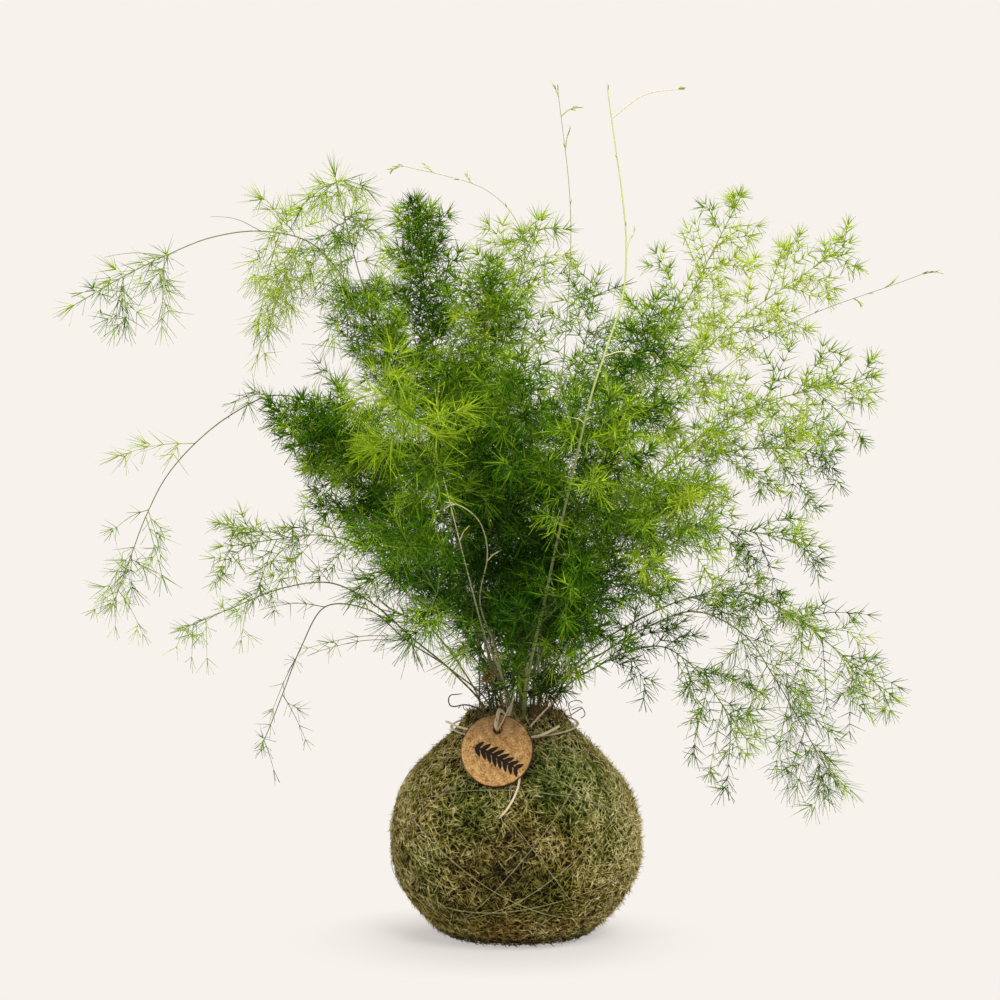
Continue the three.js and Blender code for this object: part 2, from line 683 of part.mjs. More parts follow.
// The stems that lean most are placed first, near the edge of the neck on the side they lean to
function placeStems(rows) {
  const lean = (row) => Math.hypot(row.path[0][0], row.path[0][1]) / (row.path[0][2] - SOIL_TOP);
  const edge = STEM_SPACING * Math.sqrt(rows.length);
  const free = new Set(rows.map((_, i) => i));
  for (const row of [...rows].sort((a, b) => lean(b) - lean(a))) {
    const wanted = new THREE.Vector3(row.path[0][0], row.path[0][1], 0);
    wanted.setLength(edge * Math.min(lean(row), 1)).setZ(SOIL_TOP);
    const order = [...free].sort((a, b) => stemFoot(a).distanceTo(wanted) - stemFoot(b).distanceTo(wanted));
    const foot = order.find((candidate) => placeStem(row, stemFoot(candidate)));
    if (foot === undefined) throw new Error(`no clear line for ${row.name}`);
    free.delete(foot);
  }
}

// Tries small bends of the path, but for its tip, until the stem is clear of those already placed
function placeStem(row, foot) {
  const draw = seededDraw(1000 + row.index);
  let bent = row.path;
  let lean = [0, 0];
  for (let attempt = 0; attempt < 40; attempt += 1) {
    const line = measured([foot.clone().setZ(SOIL_TOP - STEM_DEPTH), ...stemCurve(foot, bent, lean)]);
    const stations = stationsFor(line.total, nodeStarts(row, line.total), LONGEST_SPAN, STEM_DEPTH + 1.5);
    const rings = ringCentres(line, stations);
    if (rings.every((ring, i) => i === 0 || isClearOfStems(rings[i - 1], ring, row.radius))) {
      keepLimb(rings, row.radius, row.index, 0);
      Object.assign(row, { line, stations });
      return true;
    }
    const spread = (2 + attempt * 0.5) * row.bend;
    bent = row.path.map((point, i) => (
      i < row.path.length - 1 ? point.map((value) => value + spread * (1 + i) * (draw() - 0.5)) : point));
    lean = [4 * spread * (draw() - 0.5), 4 * spread * (draw() - 0.5)];
  }
  return false;
}

function isClearOfStems(start, end, radius) {
  let clear = true;
  eachCell(start, end, 4, (key) => {
    for (const other of capsuleGrid.get(key) ?? []) {
      const distance = segmentDistance(start, end, other.start, other.end);
      if (distance < radius + other.radius + GAP) clear = false;
    }
  });
  return clear;
}

// A branch's line: straight out at first, then sagging under its weight
function branchLine(start, heading, length, sag) {
  const points = [];
  for (let i = 0; i <= 6; i += 1) {
    const t = i / 6;
    const point = start.clone().addScaledVector(heading, length * t);
    points.push(point.setZ(point.z - sag * length * t * t));
  }
  return measured(points);
}

const BRANCHES_PER_FROND = 5;
const BRANCH_SAG = 0.22;
const LEAFY_FROM = 0.36;

function nodeStarts(row, total) {
  const starts = [];
  for (let i = 0; i <= row.nodes; i += 1) {
    const share = row.leafyFrom + (1 - row.leafyFrom) * (i / row.nodes);
    starts.push(total * share - (i === row.nodes ? NODE_LENGTH : 0));
  }
  return starts;
}

// Raises the main limb of a stem, with a node wherever a branch may start
function growStem(row) {
  const growth = new Growth();
  const { line, stations } = row;
  const radiusAt = (length) => row.radius + (TIP_RADIUS - row.radius) * (length / line.total);
  const nodes = growth.growLimb(line, radiusAt, stations, null);
  return { row, index: row.index, growth, nodes };
}

// Branches leave by turns round the stem, longest near the bottom of the leafy part
function growBranches(frond) {
  const { row, index, growth, nodes } = frond;
  const whorls = nodes.map((node) => ({ ...node, limb: 0 }));
  nodes.slice(0, -1).forEach((node, i) => {
    const draw = seededDraw(97 * index + 13 * i + 5);
    const share = i / (nodes.length - 1);
    const length = row.reach * (1 - 0.6 * share) * (0.8 + 0.35 * draw());
    const turn = i * GOLDEN_ANGLE + index;
    for (let attempt = 0; attempt < 8; attempt += 1) {
      const base = pickFace(growth, node, turn + attempt * 0.8);
      const normal = growth.normal(base);
      const heading = normal.clone().multiplyScalar(0.8).addScaledVector(node.along, 0.75);
      heading.z += 0.15;
      heading.normalize();
      const line = branchLine(growth.centroid(base), heading, length * (1 - attempt * 0.06), BRANCH_SAG);
      const starts = [line.total * 0.5, line.total - NODE_LENGTH];
      const stations = stationsFor(line.total, starts, LONGEST_SPAN);
      const rings = ringCentres(line, stations);
      if (!branchIsClear(rings, index)) continue;
      growth.limbs += 1;
      const limb = growth.limbs;
      const radiusAt = (at) => BRANCH_RADIUS * (1 - (0.25 * at) / line.total);
      const made = growth.growLimb(line, radiusAt, stations, base);
      node.faces.splice(node.faces.indexOf(base), 1);
      made.forEach((entry) => whorls.push({ ...entry, limb }));
      keepLimb(rings, BRANCH_RADIUS, index, limb);
      break;
    }
  });
  return whorls;
}

// The forward face of a node that looks most nearly the wanted way round the stem
function pickFace(growth, node, turn) {
  const side = new THREE.Vector3(Math.cos(turn), Math.sin(turn), 0.3);
  const forward = node.faces.filter((face) => face.forward);
  forward.sort((a, b) => growth.normal(b).dot(side) - growth.normal(a).dot(side));
  return forward[0];
}

// The first few millimetres of a branch are let off being near their own stem
function branchIsClear(rings, index) {
  for (let k = 1; k < rings.length; k += 1) {
    const from = k === 1 ? rings[0].clone().lerp(rings[1], 3 / rings[0].distanceTo(rings[1])) : rings[k - 1];
    const skip = (other) => k === 1 && other.frond === index && other.limb === 0;
    if (!isClear(rings[k - 1], rings[k], BRANCH_RADIUS, 1, skip)) return false;
    if (!isClear(from, rings[k], BRANCH_RADIUS, 0.3, () => false)) return false;
  }
  return true;
}

// Needles: a star on every node, the forward faces leaning ahead and the others standing out
function growNeedles(frond, whorls) {
  const { index, growth, row } = frond;
  if (row.needle === 0) return;
  whorls.forEach((whorl, count) => {
    const draw = seededDraw(7919 * index + 31 * count + 3);
    for (const face of whorl.faces) {
      const normal = growth.normal(face);
      const around = whorl.along.clone().cross(normal).normalize();
      const turn = face.forward ? -0.45 : 0.45;
      const start = growth.centroid(face);
      const length = row.needle * (0.82 + 0.36 * draw());
      for (const lean of face.forward ? [0.75, 1.1, 0.4] : [0.25, 0, -0.35]) {
        const heading = normal.clone().addScaledVector(around, turn + 0.2 * (draw() - 0.5));
        heading.addScaledVector(whorl.along, lean).normalize();
        const apex = start.clone().addScaledVector(heading, length);
        const from = start.clone().addScaledVector(heading, 0.16 * length);
        const skip = (other) => other.whorl === whorl
          || (other.frond === index && other.limb === whorl.limb && !other.whorl);
        if (!isClear(from, apex, NEEDLE_RADIUS, NEEDLE_CLEARANCE, skip)) continue;
        growth.raiseNeedle(face, apex);
        keepCapsule(start, apex, NEEDLE_RADIUS, index, whorl.limb, whorl);
        break;
      }
    }
  });
}

// The ball and what is tied to it
addPiece('soil_ball', geometryOf(soilSolid()), COLOURS.soil);
addPiece('root_crown', geometryOf(crownSolid(0)), COLOURS.root);
addPiece('moss_cover', geometryOf(mossSolid()), COLOURS.moss);
addPiece('winding_thread', geometryOf(threadSolid()), COLOURS.thread);
const tagSeat = tagCentre();
addPiece('name_tag', geometryOf(tagSolid(tagSeat)), COLOURS.wood);
addPiece('raffia_tie', geometryOf(raffiaSolid(tagSeat)), COLOURS.raffia);

// The plant: all stems first, then all branches, then all needles, so that each keeps clear of the last
const rows = [
  ...FRONDS.map((row) => ({
    ...row, name: `frond_${row.name}`, radius: STEM_RADIUS, nodes: BRANCHES_PER_FROND,
    leafyFrom: LEAFY_FROM, needle: NEEDLE_LENGTH, bend: 1,
    color: DARK_GREEN.clone().lerp(LIME_GREEN, row.lime),
  })),
  ...SHOOTS.map((row) => ({ nodes: 3, leafyFrom: 0.6, needle: 4, bend: 0.5, ...row })),
];
rows.forEach((row, index) => Object.assign(row, { index }));
placeStems(rows);
const fronds = rows.map(growStem);
const whorlLists = fronds.map((frond) => (
  frond.row.reach ? growBranches(frond) : frond.nodes.map((node) => ({ ...node, limb: 0 }))));
fronds.forEach((frond, i) => growNeedles(frond, whorlLists[i]));
for (const { row, growth } of fronds) {
  addPiece(row.name, growth.geometry(), { color: row.color, roughness: 0.7 });
}

export default plant;
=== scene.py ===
"""Kokedama moss ball plant: the finish of every piece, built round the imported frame, in metres."""

import math
from collections import Counter

import bpy
import numpy as np
from mathutils import Matrix, Vector, noise


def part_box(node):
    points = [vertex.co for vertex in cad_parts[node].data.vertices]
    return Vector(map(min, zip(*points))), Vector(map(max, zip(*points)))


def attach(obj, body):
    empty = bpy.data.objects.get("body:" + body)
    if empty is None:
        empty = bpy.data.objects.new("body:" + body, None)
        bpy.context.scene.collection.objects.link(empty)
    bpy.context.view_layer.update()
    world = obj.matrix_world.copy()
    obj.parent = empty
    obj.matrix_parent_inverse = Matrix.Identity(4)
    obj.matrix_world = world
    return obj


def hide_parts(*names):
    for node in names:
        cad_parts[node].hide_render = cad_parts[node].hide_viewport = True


bl_info = {
    "name": "Kokedama Moss Ball Plant",
    "version": (1, 0, 0),
    "blender": (4, 5, 0),
    "location": "View3D > Sidebar > Kokedama",
    "description": "Dresses a moss ball plant with moss fibres, tie, wooden tag, stems and needles",
    "category": "Object",
}

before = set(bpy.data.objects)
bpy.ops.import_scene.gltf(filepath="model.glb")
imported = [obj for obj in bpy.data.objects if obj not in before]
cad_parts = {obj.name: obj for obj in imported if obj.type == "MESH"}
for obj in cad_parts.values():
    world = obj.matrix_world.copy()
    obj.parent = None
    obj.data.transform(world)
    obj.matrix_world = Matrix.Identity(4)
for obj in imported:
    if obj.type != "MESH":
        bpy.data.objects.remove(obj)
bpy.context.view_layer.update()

MM = 0.001
BODY = "root"
GOLDEN_ANGLE = math.pi * (3 - math.sqrt(5))

# The ball, in millimetres, as in the frame: a flattened belly that draws in to the neck, with low lumps
BASE_RADIUS = 36
BELLY_RADIUS = 64
BELLY_HEIGHT = 47
NECK_RADIUS = 29
NECK_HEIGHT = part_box("moss_cover")[1].z / MM
BELLY_POWER = 2.15
SHOULDER_POWER = 1.47
LUMP_HEIGHT = 1.1
MOSS_THICKNESS = 5
NECK_OPENING = 24
SOIL_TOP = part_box("soil_ball")[1].z / MM

# The bed that the fibres grow on, in millimetres: how deep it lies under that outline, and how far and how
# high up its foot is tucked in
BED_DEPTH = 1.0
FOOT_TUCK = 9.0
FOOT_ROUND = 3.5

# The tag, in millimetres and degrees, as in the frame
TAG_RADIUS = 18.5
TAG_THICKNESS = 3.2
TAG_HOLE_RADIUS = 2
TAG_HOLE_OFFSET = 10.5
TAG_TURN = math.radians(-10)
TAG_TILT = math.radians(17)

# The width of the tag's year rings and the place of its pith, in millimetres
YEAR_RING = 1.25
PITH = (-2.0, -4.0)

# The camera stands where the photograph was taken from: level with the foliage, looking down a little
CAMERA_PLACE = (-0.00806, -1.8661, 0.4220)
CAMERA_DOWN = math.radians(6)
CAMERA_LENS = 131.5


def linear(code):
    """A colour written as sRGB hex, as the linear colour that shaders work in."""
    parts = [((code >> shift) & 255) / 255 for shift in (16, 8, 0)]
    return (*(p / 12.92 if p <= 0.04045 else ((p + 0.055) / 1.055) ** 2.4 for p in parts), 1.0)


# Settings that a user would change


def length_setting(name, description, default):
    return bpy.props.FloatProperty(
        name=name, description=description, default=default, min=0.00005, max=0.1, precision=5,
        subtype="DISTANCE", unit="LENGTH")


def colour_setting(name, description, code):
    return bpy.props.FloatVectorProperty(
        name=name, description=description, default=linear(code)[:3], size=3, min=0, max=1, subtype="COLOR")


def count_setting(name, description, default, smallest=10):
    return bpy.props.IntProperty(name=name, description=description, default=default, min=smallest)


def strength_setting(name, description, default, smallest=0.0):
    return bpy.props.FloatProperty(name=name, description=description, default=default, min=smallest)


# Fibres and needles are drawn a little wider than real ones, as coarse as they need to show
class KokedamaMossSettings(bpy.types.PropertyGroup):
    straight: count_setting("Straight fibres", "How many straight fibres lie on the ball", 48000)
    curled: count_setting("Curled fibres", "How many curled fibres lie on the ball", 11000)
    straws: count_setting("Straws", "How many long pale straws lie on the ball", 1100)
    fibre_length: length_setting("Fibre length", "Length of a moss fibre of middle size", 0.0039)
    fibre_width: length_setting("Fibre width", "Width of a moss fibre at its root", 0.00041)
    green: colour_setting("Green", "Fresh moss", 0x567828)
    olive: colour_setting("Olive", "Half dried moss", 0x7C742C)
    straw: colour_setting("Straw", "Dried moss tips", 0xCFBC68)
    brown: colour_setting("Brown", "Old moss", 0x3A2E14)


class KokedamaTieSettings(bpy.types.PropertyGroup):
    thread_width: length_setting("Thread width", "Diameter of the winding thread", 0.00034)
    thread_colour: colour_setting("Thread", "Colour of the winding thread", 0xBDB184)
    raffia_width: length_setting("Raffia width", "Width of a raffia strand", 0.0019)
    raffia_colour: colour_setting("Raffia", "Colour of the raffia", 0xF2DEB4)


class KokedamaTagSettings(bpy.types.PropertyGroup):
    wood: colour_setting("Wood", "Sanded end grain of the tag", 0xB2803E)
    burnt: colour_setting("Burnt edge", "Scorched rim of the tag", 0x2E1A0F)
    ink: colour_setting("Drawing", "Burnt lines of the drawn sprig", 0x15100C)


class KokedamaFoliageSettings(bpy.types.PropertyGroup):
    needle_width: length_setting("Needle width", "Width of a needle at its root", 0.0006)
    seed: count_setting("Seed", "Seed of the random draws", 7, 0)
    # The deep green also colours the needles in painted shade near the bush's middle
    deep: colour_setting("Deep green", "Oldest needles", 0x1E3C0E)
    mature: colour_setting("Green", "Grown needles", 0x44760C)
    young: colour_setting("Lime", "Young needles", 0xA8C828)


class KokedamaStageSettings(bpy.types.PropertyGroup):
    backdrop: colour_setting("Backdrop", "Floor and background", 0xF8F2ED)
    key_strength: strength_setting("Key light", "Strength of the main light", 3.2)
    sky_strength: strength_setting("Sky light", "Strength of the light from all round", 0.38)
    shadow: bpy.props.FloatProperty(
        name="Shadow depth", description="Share of the floor's light that a shadow can take", default=0.5,
        min=0.02, max=1, subtype="FACTOR")


SETTINGS = {
    "kokedama_moss": KokedamaMossSettings,
    "kokedama_tie": KokedamaTieSettings,
    "kokedama_tag": KokedamaTagSettings,
    "kokedama_foliage": KokedamaFoliageSettings,
    "kokedama_stage": KokedamaStageSettings,
}


# Shared helpers for nodes, meshes and pieces


def add_node(tree, kind, inputs=(), stops=(), **settings):
    """Adds a node with its settings and links.

    Inputs go to the node's open sockets in their order, or by name. Each is a value, an output, or a node
    that stands for its first open output, and None leaves a socket as it is. Stops are a colour ramp's places
    and colours, the colours as hex or linear.
    """
    node = tree.nodes.new(kind)
    for key, value in settings.items():
        setattr(node, key, value)
    sockets = [socket for socket in node.inputs if socket.enabled]
    if not isinstance(inputs, dict):
        inputs = dict(enumerate(inputs))
    for key, value in inputs.items():
        socket = sockets[key] if isinstance(key, int) else node.inputs[key]
        if isinstance(value, bpy.types.Node):
            value = first_output(value)
        if isinstance(value, bpy.types.NodeSocket):
            tree.links.new(value, socket)
        elif value is not None:
            socket.default_value = value
    for i, (place, colour) in enumerate(stops):
        marks = node.color_ramp.elements
        mark = marks[i] if i < 2 else marks.new(place)
        mark.position = place
        mark.color = linear(colour) if isinstance(colour, int) else opaque(colour)
    return node


def first_output(node):
    """The first output that is open, because some nodes keep one closed for each kind of data."""
    return next(output for output in node.outputs if output.enabled)


def new_surface(name, roughness, **sockets):
    """A material with a Principled shader whose even values are set on the shader's own sockets."""
    material = bpy.data.materials.new(name)
    material.use_nodes = True
    tree = material.node_tree
    shader = tree.nodes["Principled BSDF"]
    shader.inputs["Roughness"].default_value = roughness
    for key, value in sockets.items():
        shader.inputs[key.replace("_", " ")].default_value = value
    return material, tree, shader


def finish_surface(tree, shader, colour, relief=None, depth=0.0, strength=0.6):
    """Leads the colour to the shader, and a relief whose depth is in millimetres at a strength of one."""
    tree.links.new(first_output(colour), shader.inputs["Base Color"])
    if relief:
        inputs = {"Strength": strength, "Distance": depth * MM, "Height": relief}
        bump = add_node(tree, "ShaderNodeBump", inputs)
        tree.links.new(bump.outputs[0], shader.inputs["Normal"])


def grain(tree, feature, detail=3.0, stretch=(1, 1, 1)):
    """A cloudy pattern on Object coordinates whose features are about so many millimetres across."""
    place = add_node(tree, "ShaderNodeTexCoord").outputs["Object"]
    mapped = add_node(tree, "ShaderNodeMapping", {"Vector": place, "Scale": stretch})
    return add_node(tree, "ShaderNodeTexNoise", (mapped, 1 / (feature * MM), detail))


def paint_grained(name, roughness, pattern, stops, depth=0.0, **sockets):
    """A surface whose colour and relief follow one cloudy pattern, given by what grain() asks for."""
    material, tree, shader = new_surface(name, roughness, **sockets)
    cloud = grain(tree, *pattern)
    colour = add_node(tree, "ShaderNodeValToRGB", (cloud,), stops)
    finish_surface(tree, shader, colour, cloud if depth else None, depth)
    return material


def opaque(colour):
    return (*colour[:3], 1.0)


def new_piece(name, mesh):
    piece = bpy.data.objects.new(name, mesh)
    bpy.context.scene.collection.objects.link(piece)
    return piece


def mesh_piece(name, places, faces, material=None, smooth=True):
    """A piece from places in millimetres and faces by number."""
    mesh = bpy.data.meshes.new(name)
    mesh.from_pydata((np.asarray(places, float) * MM).tolist(), [], faces)
    mesh.polygons.foreach_set("use_smooth", [smooth] * len(mesh.polygons))
    if material:
        mesh.materials.append(material)
    mesh.update()
    return new_piece(name, mesh)


def store_values(mesh, name, values, kind="FLOAT"):
    """Stores one value, vector or truth a vertex under a name that nodes can read."""
    layer = mesh.attributes.new(name, kind, "POINT")
    field = "vector" if kind == "FLOAT_VECTOR" else "value"
    layer.data.foreach_set(field, np.asarray(values, bool if kind == "BOOLEAN" else np.float32).ravel())


def bake_nodes(piece, tree, **values):
    """Runs a geometry tree on a piece and keeps the plain mesh that comes out."""
    modifier = piece.modifiers.new(tree.name, "NODES")
    modifier.node_group = tree
    named = {item.name: item.identifier for item in tree.interface.items_tree if item.in_out == "INPUT"}
    for name, value in values.items():
        modifier[named[name.replace("_", " ").capitalize()]] = value
    graph = bpy.context.evaluated_depsgraph_get()
    made = bpy.data.meshes.new_from_object(
        piece.evaluated_get(graph), preserve_all_data_layers=True, depsgraph=graph)
    piece.modifiers.clear()
    old = piece.data
    piece.data = made
    bpy.data.meshes.remove(old)
    made.name = piece.name


def drop_shapes(*shapes):
    """Removes helper objects that only lent their mesh."""
    for shape in shapes:
        mesh = shape.data
        bpy.data.objects.remove(shape)
        bpy.data.meshes.remove(mesh)


def seat(piece, slot, *nodes):
    """The piece rides on the body and stands for its nodes, which it hides; its slot is not used."""
    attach(piece, BODY)
    if nodes:
        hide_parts(*nodes)


def geometry_tree(name, **inputs):
    """An empty geometry tree with a geometry input and output, and named inputs of the given kinds."""
    tree = bpy.data.node_groups.new(name, "GeometryNodeTree")
    tree.interface.new_socket("Geometry", in_out="OUTPUT", socket_type="NodeSocketGeometry")
    tree.interface.new_socket("Geometry", in_out="INPUT", socket_type="NodeSocketGeometry")
    for key, kind in inputs.items():
        label = key.replace("_", " ").capitalize()
        tree.interface.new_socket(label, in_out="INPUT", socket_type=f"NodeSocket{kind}")
    entry = add_node(tree, "NodeGroupInput")
    return tree, entry


def end_tree(tree, geometry, material):
    """Realizes instances, sets the material and leads to the tree's output."""
    real = add_node(tree, "GeometryNodeRealizeInstances", (geometry,))
    painted = add_node(tree, "GeometryNodeSetMaterial", (real, None, material))
    add_node(tree, "NodeGroupOutput", (painted,))
    return tree


# Lines in space


def unit(vectors):
    vectors = np.asarray(vectors, float)
    return vectors / np.maximum(np.linalg.norm(vectors, axis=-1, keepdims=True), 1e-9)


def sideways(along):
    """Two directions across each given one, the first of them level."""
    across = np.cross(along, (0.0, 0.0, 1.0))
    flat = np.linalg.norm(across, axis=-1, keepdims=True) < 1e-3
    across = unit(np.where(flat, (1.0, 0.0, 0.0), across))
    return across, unit(np.cross(across, along))


def spiral_out(axes, start=0.0, roundness=1.0):
    """A direction across each axis, turned on by the golden angle from one to the next."""
    across, over = sideways(axes)
    turn = (np.arange(len(axes)) * GOLDEN_ANGLE + start)[:, None]
    return across * np.cos(turn) + over * (roundness * np.sin(turn))


def drooping(start, heading, sag, reach, t):
    """Places on a branch that leaves its start along a heading and sags, at shares t of its reach."""
    return start + heading * reach * t + sag * reach * t**2


class Line:
    """A smooth line through points, in millimetres, that gives its place at a length along it."""

    def __init__(self, points, radii=None, step=2.5, closest=3.0):
        points = np.asarray(points, float)
        kept = [0]
        for i in range(1, len(points)):
            if np.linalg.norm(points[i] - points[kept[-1]]) > closest:
                kept.append(i)
            elif i == len(points) - 1:
                kept[-1] = i
        points = points[kept]
        gaps = np.linalg.norm(np.diff(points, axis=0), axis=1)
        chords = np.concatenate([[0], np.cumsum(gaps)])
        rates = np.diff(points, axis=0) / gaps[:, None]
        slopes = np.empty_like(points)
        slopes[0], slopes[-1] = rates[0], rates[-1]
        if len(points) > 2:
            before, after = gaps[:-1, None], gaps[1:, None]
            slopes[1:-1] = (rates[:-1] * after + rates[1:] * before) / (before + after)
        count = max(int(chords[-1] / step), 2)
        wanted = np.linspace(0, chords[-1], count + 1)
        span = np.clip(np.searchsorted(chords, wanted, side="right") - 1, 0, len(gaps) - 1)
        t = ((wanted - chords[span]) / gaps[span])[:, None]
        h = gaps[span][:, None]
        self.points = (
            (2 * t**3 - 3 * t**2 + 1) * points[span] + (t**3 - 2 * t**2 + t) * h * slopes[span]
            + (3 * t**2 - 2 * t**3) * points[span + 1] + (t**3 - t**2) * h * slopes[span + 1])
        steps = np.linalg.norm(np.diff(self.points, axis=0), axis=1)
        self.lengths = np.concatenate([[0], np.cumsum(steps)])
        self.total = self.lengths[-1]
        self.radii = None if radii is None else np.interp(wanted, chords, np.asarray(radii, float)[kept])

    def at(self, lengths):
        """Places and directions at the given lengths."""
        lengths = np.clip(np.atleast_1d(np.asarray(lengths, float)), 0, self.total)
        place, ahead, behind = (
            np.stack([np.interp(spots, self.lengths, self.points[:, k]) for k in range(3)], 1)
            for spots in (lengths, np.clip(lengths + 1, 0, self.total), np.clip(lengths - 1, 0, self.total)))
        return place, unit(ahead - behind)


def sweep(points, section, up, sizes=None, twists=None):
    """Sweeps a closed section, given as (across, out) pairs, along points. Returns places and faces."""
    points = np.asarray(points, float)
    count, sides = len(points), len(section)
    along = unit(np.gradient(points, axis=0))
    out = unit(np.asarray(up, float))
    places = []
    for i in range(count):
        out = unit(out - along[i] * np.dot(out, along[i]))
        across = np.cross(along[i], out)
        turn = 0.0 if twists is None else twists[i]
        size = 1.0 if sizes is None else sizes[i]
        for a, b in section:
            x = (a * math.cos(turn) - b * math.sin(turn)) * size
            y = (a * math.sin(turn) + b * math.cos(turn)) * size
            places.append(points[i] + across * x + out * y)
    faces = []
    for i in range(count - 1):
        low, high = i * sides, (i + 1) * sides
        for k in range(sides):
            faces.append((low + k, low + (k + 1) % sides, high + (k + 1) % sides, high + k))
    faces.append(tuple(range(sides - 1, -1, -1)))
    faces.append(tuple(range((count - 1) * sides, count * sides)))
    return places, faces


def join_parts(parts):
    """Joins (places, faces) parts into one."""
    places, faces = [], []
    for more_places, more_faces in parts:
        start = len(places)
        places.extend(more_places)
        faces.extend(tuple(start + i for i in face) for face in more_faces)
    return places, faces


def revolve(outline, columns, lumps=None):
    """Turns (radius, height) pairs round the upright axis. Returns places and faces.

    Lumps gives how far a place stands out, from its row's number, its angle, radius and height.
    """
    places, faces, starts = [], [], []
    for row, (radius, height) in enumerate(outline):
        starts.append(len(places))
        for column in range(columns if radius else 1):
            angle = 2 * math.pi * column / columns
            reach = radius + lumps(row, angle, radius, height) if lumps else radius
            places.append((reach * math.cos(angle), reach * math.sin(angle), height))
    for row in range(len(outline) - 1):
        low, high = starts[row], starts[row + 1]
        for k in range(columns):
            after = (k + 1) % columns
            if not outline[row][0]:
                faces.append((low, high + after, high + k))
            elif not outline[row + 1][0]:
                faces.append((low + k, low + after, high))
            else:
                faces.append((low + k, low + after, high + after, high + k))
    return places, faces


# The ball's outline


def moss_radius(height):
    """The ball's radius at a height, before its lumps."""
    if height <= BELLY_HEIGHT:
        below = 1 - max(height, 0) / BELLY_HEIGHT
        return BASE_RADIUS + (BELLY_RADIUS - BASE_RADIUS) * (1 - below**BELLY_POWER)
    above = min((height - BELLY_HEIGHT) / (NECK_HEIGHT - BELLY_HEIGHT), 1)
    fall = 0.5 + 0.5 * math.cos(math.pi * above**SHOULDER_POWER)
    return NECK_RADIUS + (BELLY_RADIUS - NECK_RADIUS) * fall


def moss_lump(angle, height):
    """How far the ball stands out or in at a place, fading to nothing at the foot and the neck."""
    fade = math.sin(math.pi * min(max(height / NECK_HEIGHT, 0), 1))
    wave = math.sin(3 * angle + height / 17) + 0.7 * math.sin(5 * angle - height / 11 + 1.3)
    return LUMP_HEIGHT * fade * wave * 0.6


def on_moss(angle, height, clearance):
    """A place that far outside the moss."""
    radius = moss_radius(height) + moss_lump(angle, height) + clearance
    return np.array((radius * math.cos(angle), radius * math.sin(angle), height))


# Soil and crown


# The soil's crumbs: their radius in millimetres and how many lie on a square metre
CRUMB_SIZE = 1.5
CRUMBS_A_SQUARE_METRE = 60000.0


def paint_soil():
    """Potting soil, damp peat and clay: near black brown crumbs with no shine."""
    stops = [(0.3, 0x1E140C), (0.55, 0x3A281A), (0.8, 0x5B4430)]
    return paint_grained("peat_and_clay_soil", 0.95, (2.5, 6), stops, 1.2)


def paint_crown():
    """Rhizome and storage roots: pale tan, thin papery skin with fine length wrinkles."""
    stops = [(0.3, 0x8C6E45), (0.7, 0xCBB083)]
    return paint_grained("rhizome_skin", 0.7, (1.6, 4, (1, 1, 0.25)), stops, 0.5)


def crumb_tree(material):
    """Crumbs scattered on the soil's level top, each a lump of another size."""
    tree, entry = geometry_tree("Soil crumbs", crumb_size="Float", density="Float")
    up = add_node(tree, "GeometryNodeInputNormal")
    level = add_node(tree, "ShaderNodeSeparateXYZ", (up,)).outputs[2]
    top = add_node(tree, "FunctionNodeCompare", (level, 0.9), operation="GREATER_THAN")
    spots = add_node(
        tree, "GeometryNodeDistributePointsOnFaces", (entry.outputs[0], top, entry.outputs["Density"], 11))
    lump = add_node(tree, "GeometryNodeMeshIcoSphere", (1.0, 1))
    place = add_node(tree, "GeometryNodeInputPosition")
    rough = add_node(tree, "ShaderNodeTexNoise", (place, 1.4, 2.0)).outputs[1]
    shift = add_node(tree, "ShaderNodeVectorMath", (rough, (0.5, 0.5, 0.5)), operation="SUBTRACT")
    rocky = add_node(tree, "GeometryNodeSetPosition", {"Geometry": lump, "Offset": shift})
    size = add_node(tree, "FunctionNodeRandomValue", (0.35, 1.0, None, 3))
    scale = add_node(tree, "ShaderNodeMath", (size, entry.outputs["Crumb size"]), operation="MULTIPLY")
    turn = add_node(
        tree, "FunctionNodeRandomValue", ((0, 0, 0), (6, 6, 6), None, 4), data_type="FLOAT_VECTOR")
    placed = add_node(
        tree, "GeometryNodeInstanceOnPoints",
        {"Points": spots, "Instance": rocky, "Rotation": turn, "Scale": scale})
    return end_tree(tree, placed, material)


class KOKEDAMA_OT_soil(bpy.types.Operator):
    """Give the soil and the root crown their finish and lay crumbs on the soil"""

    bl_idname = "kokedama.soil"
    bl_label = "Soil and crown"

    def execute(self, context):
        soil = paint_soil()
        for node, material in (("soil_ball", soil), ("root_crown", paint_crown())):
            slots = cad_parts[node].data.materials
            slots.clear()
            slots.append(material)
        crumbs = new_piece("soil_crumbs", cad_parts["soil_ball"].data.copy())
        bake_nodes(crumbs, crumb_tree(soil), crumb_size=CRUMB_SIZE * MM, density=CRUMBS_A_SQUARE_METRE)
        seat(crumbs, "soil")
        return {"FINISHED"}
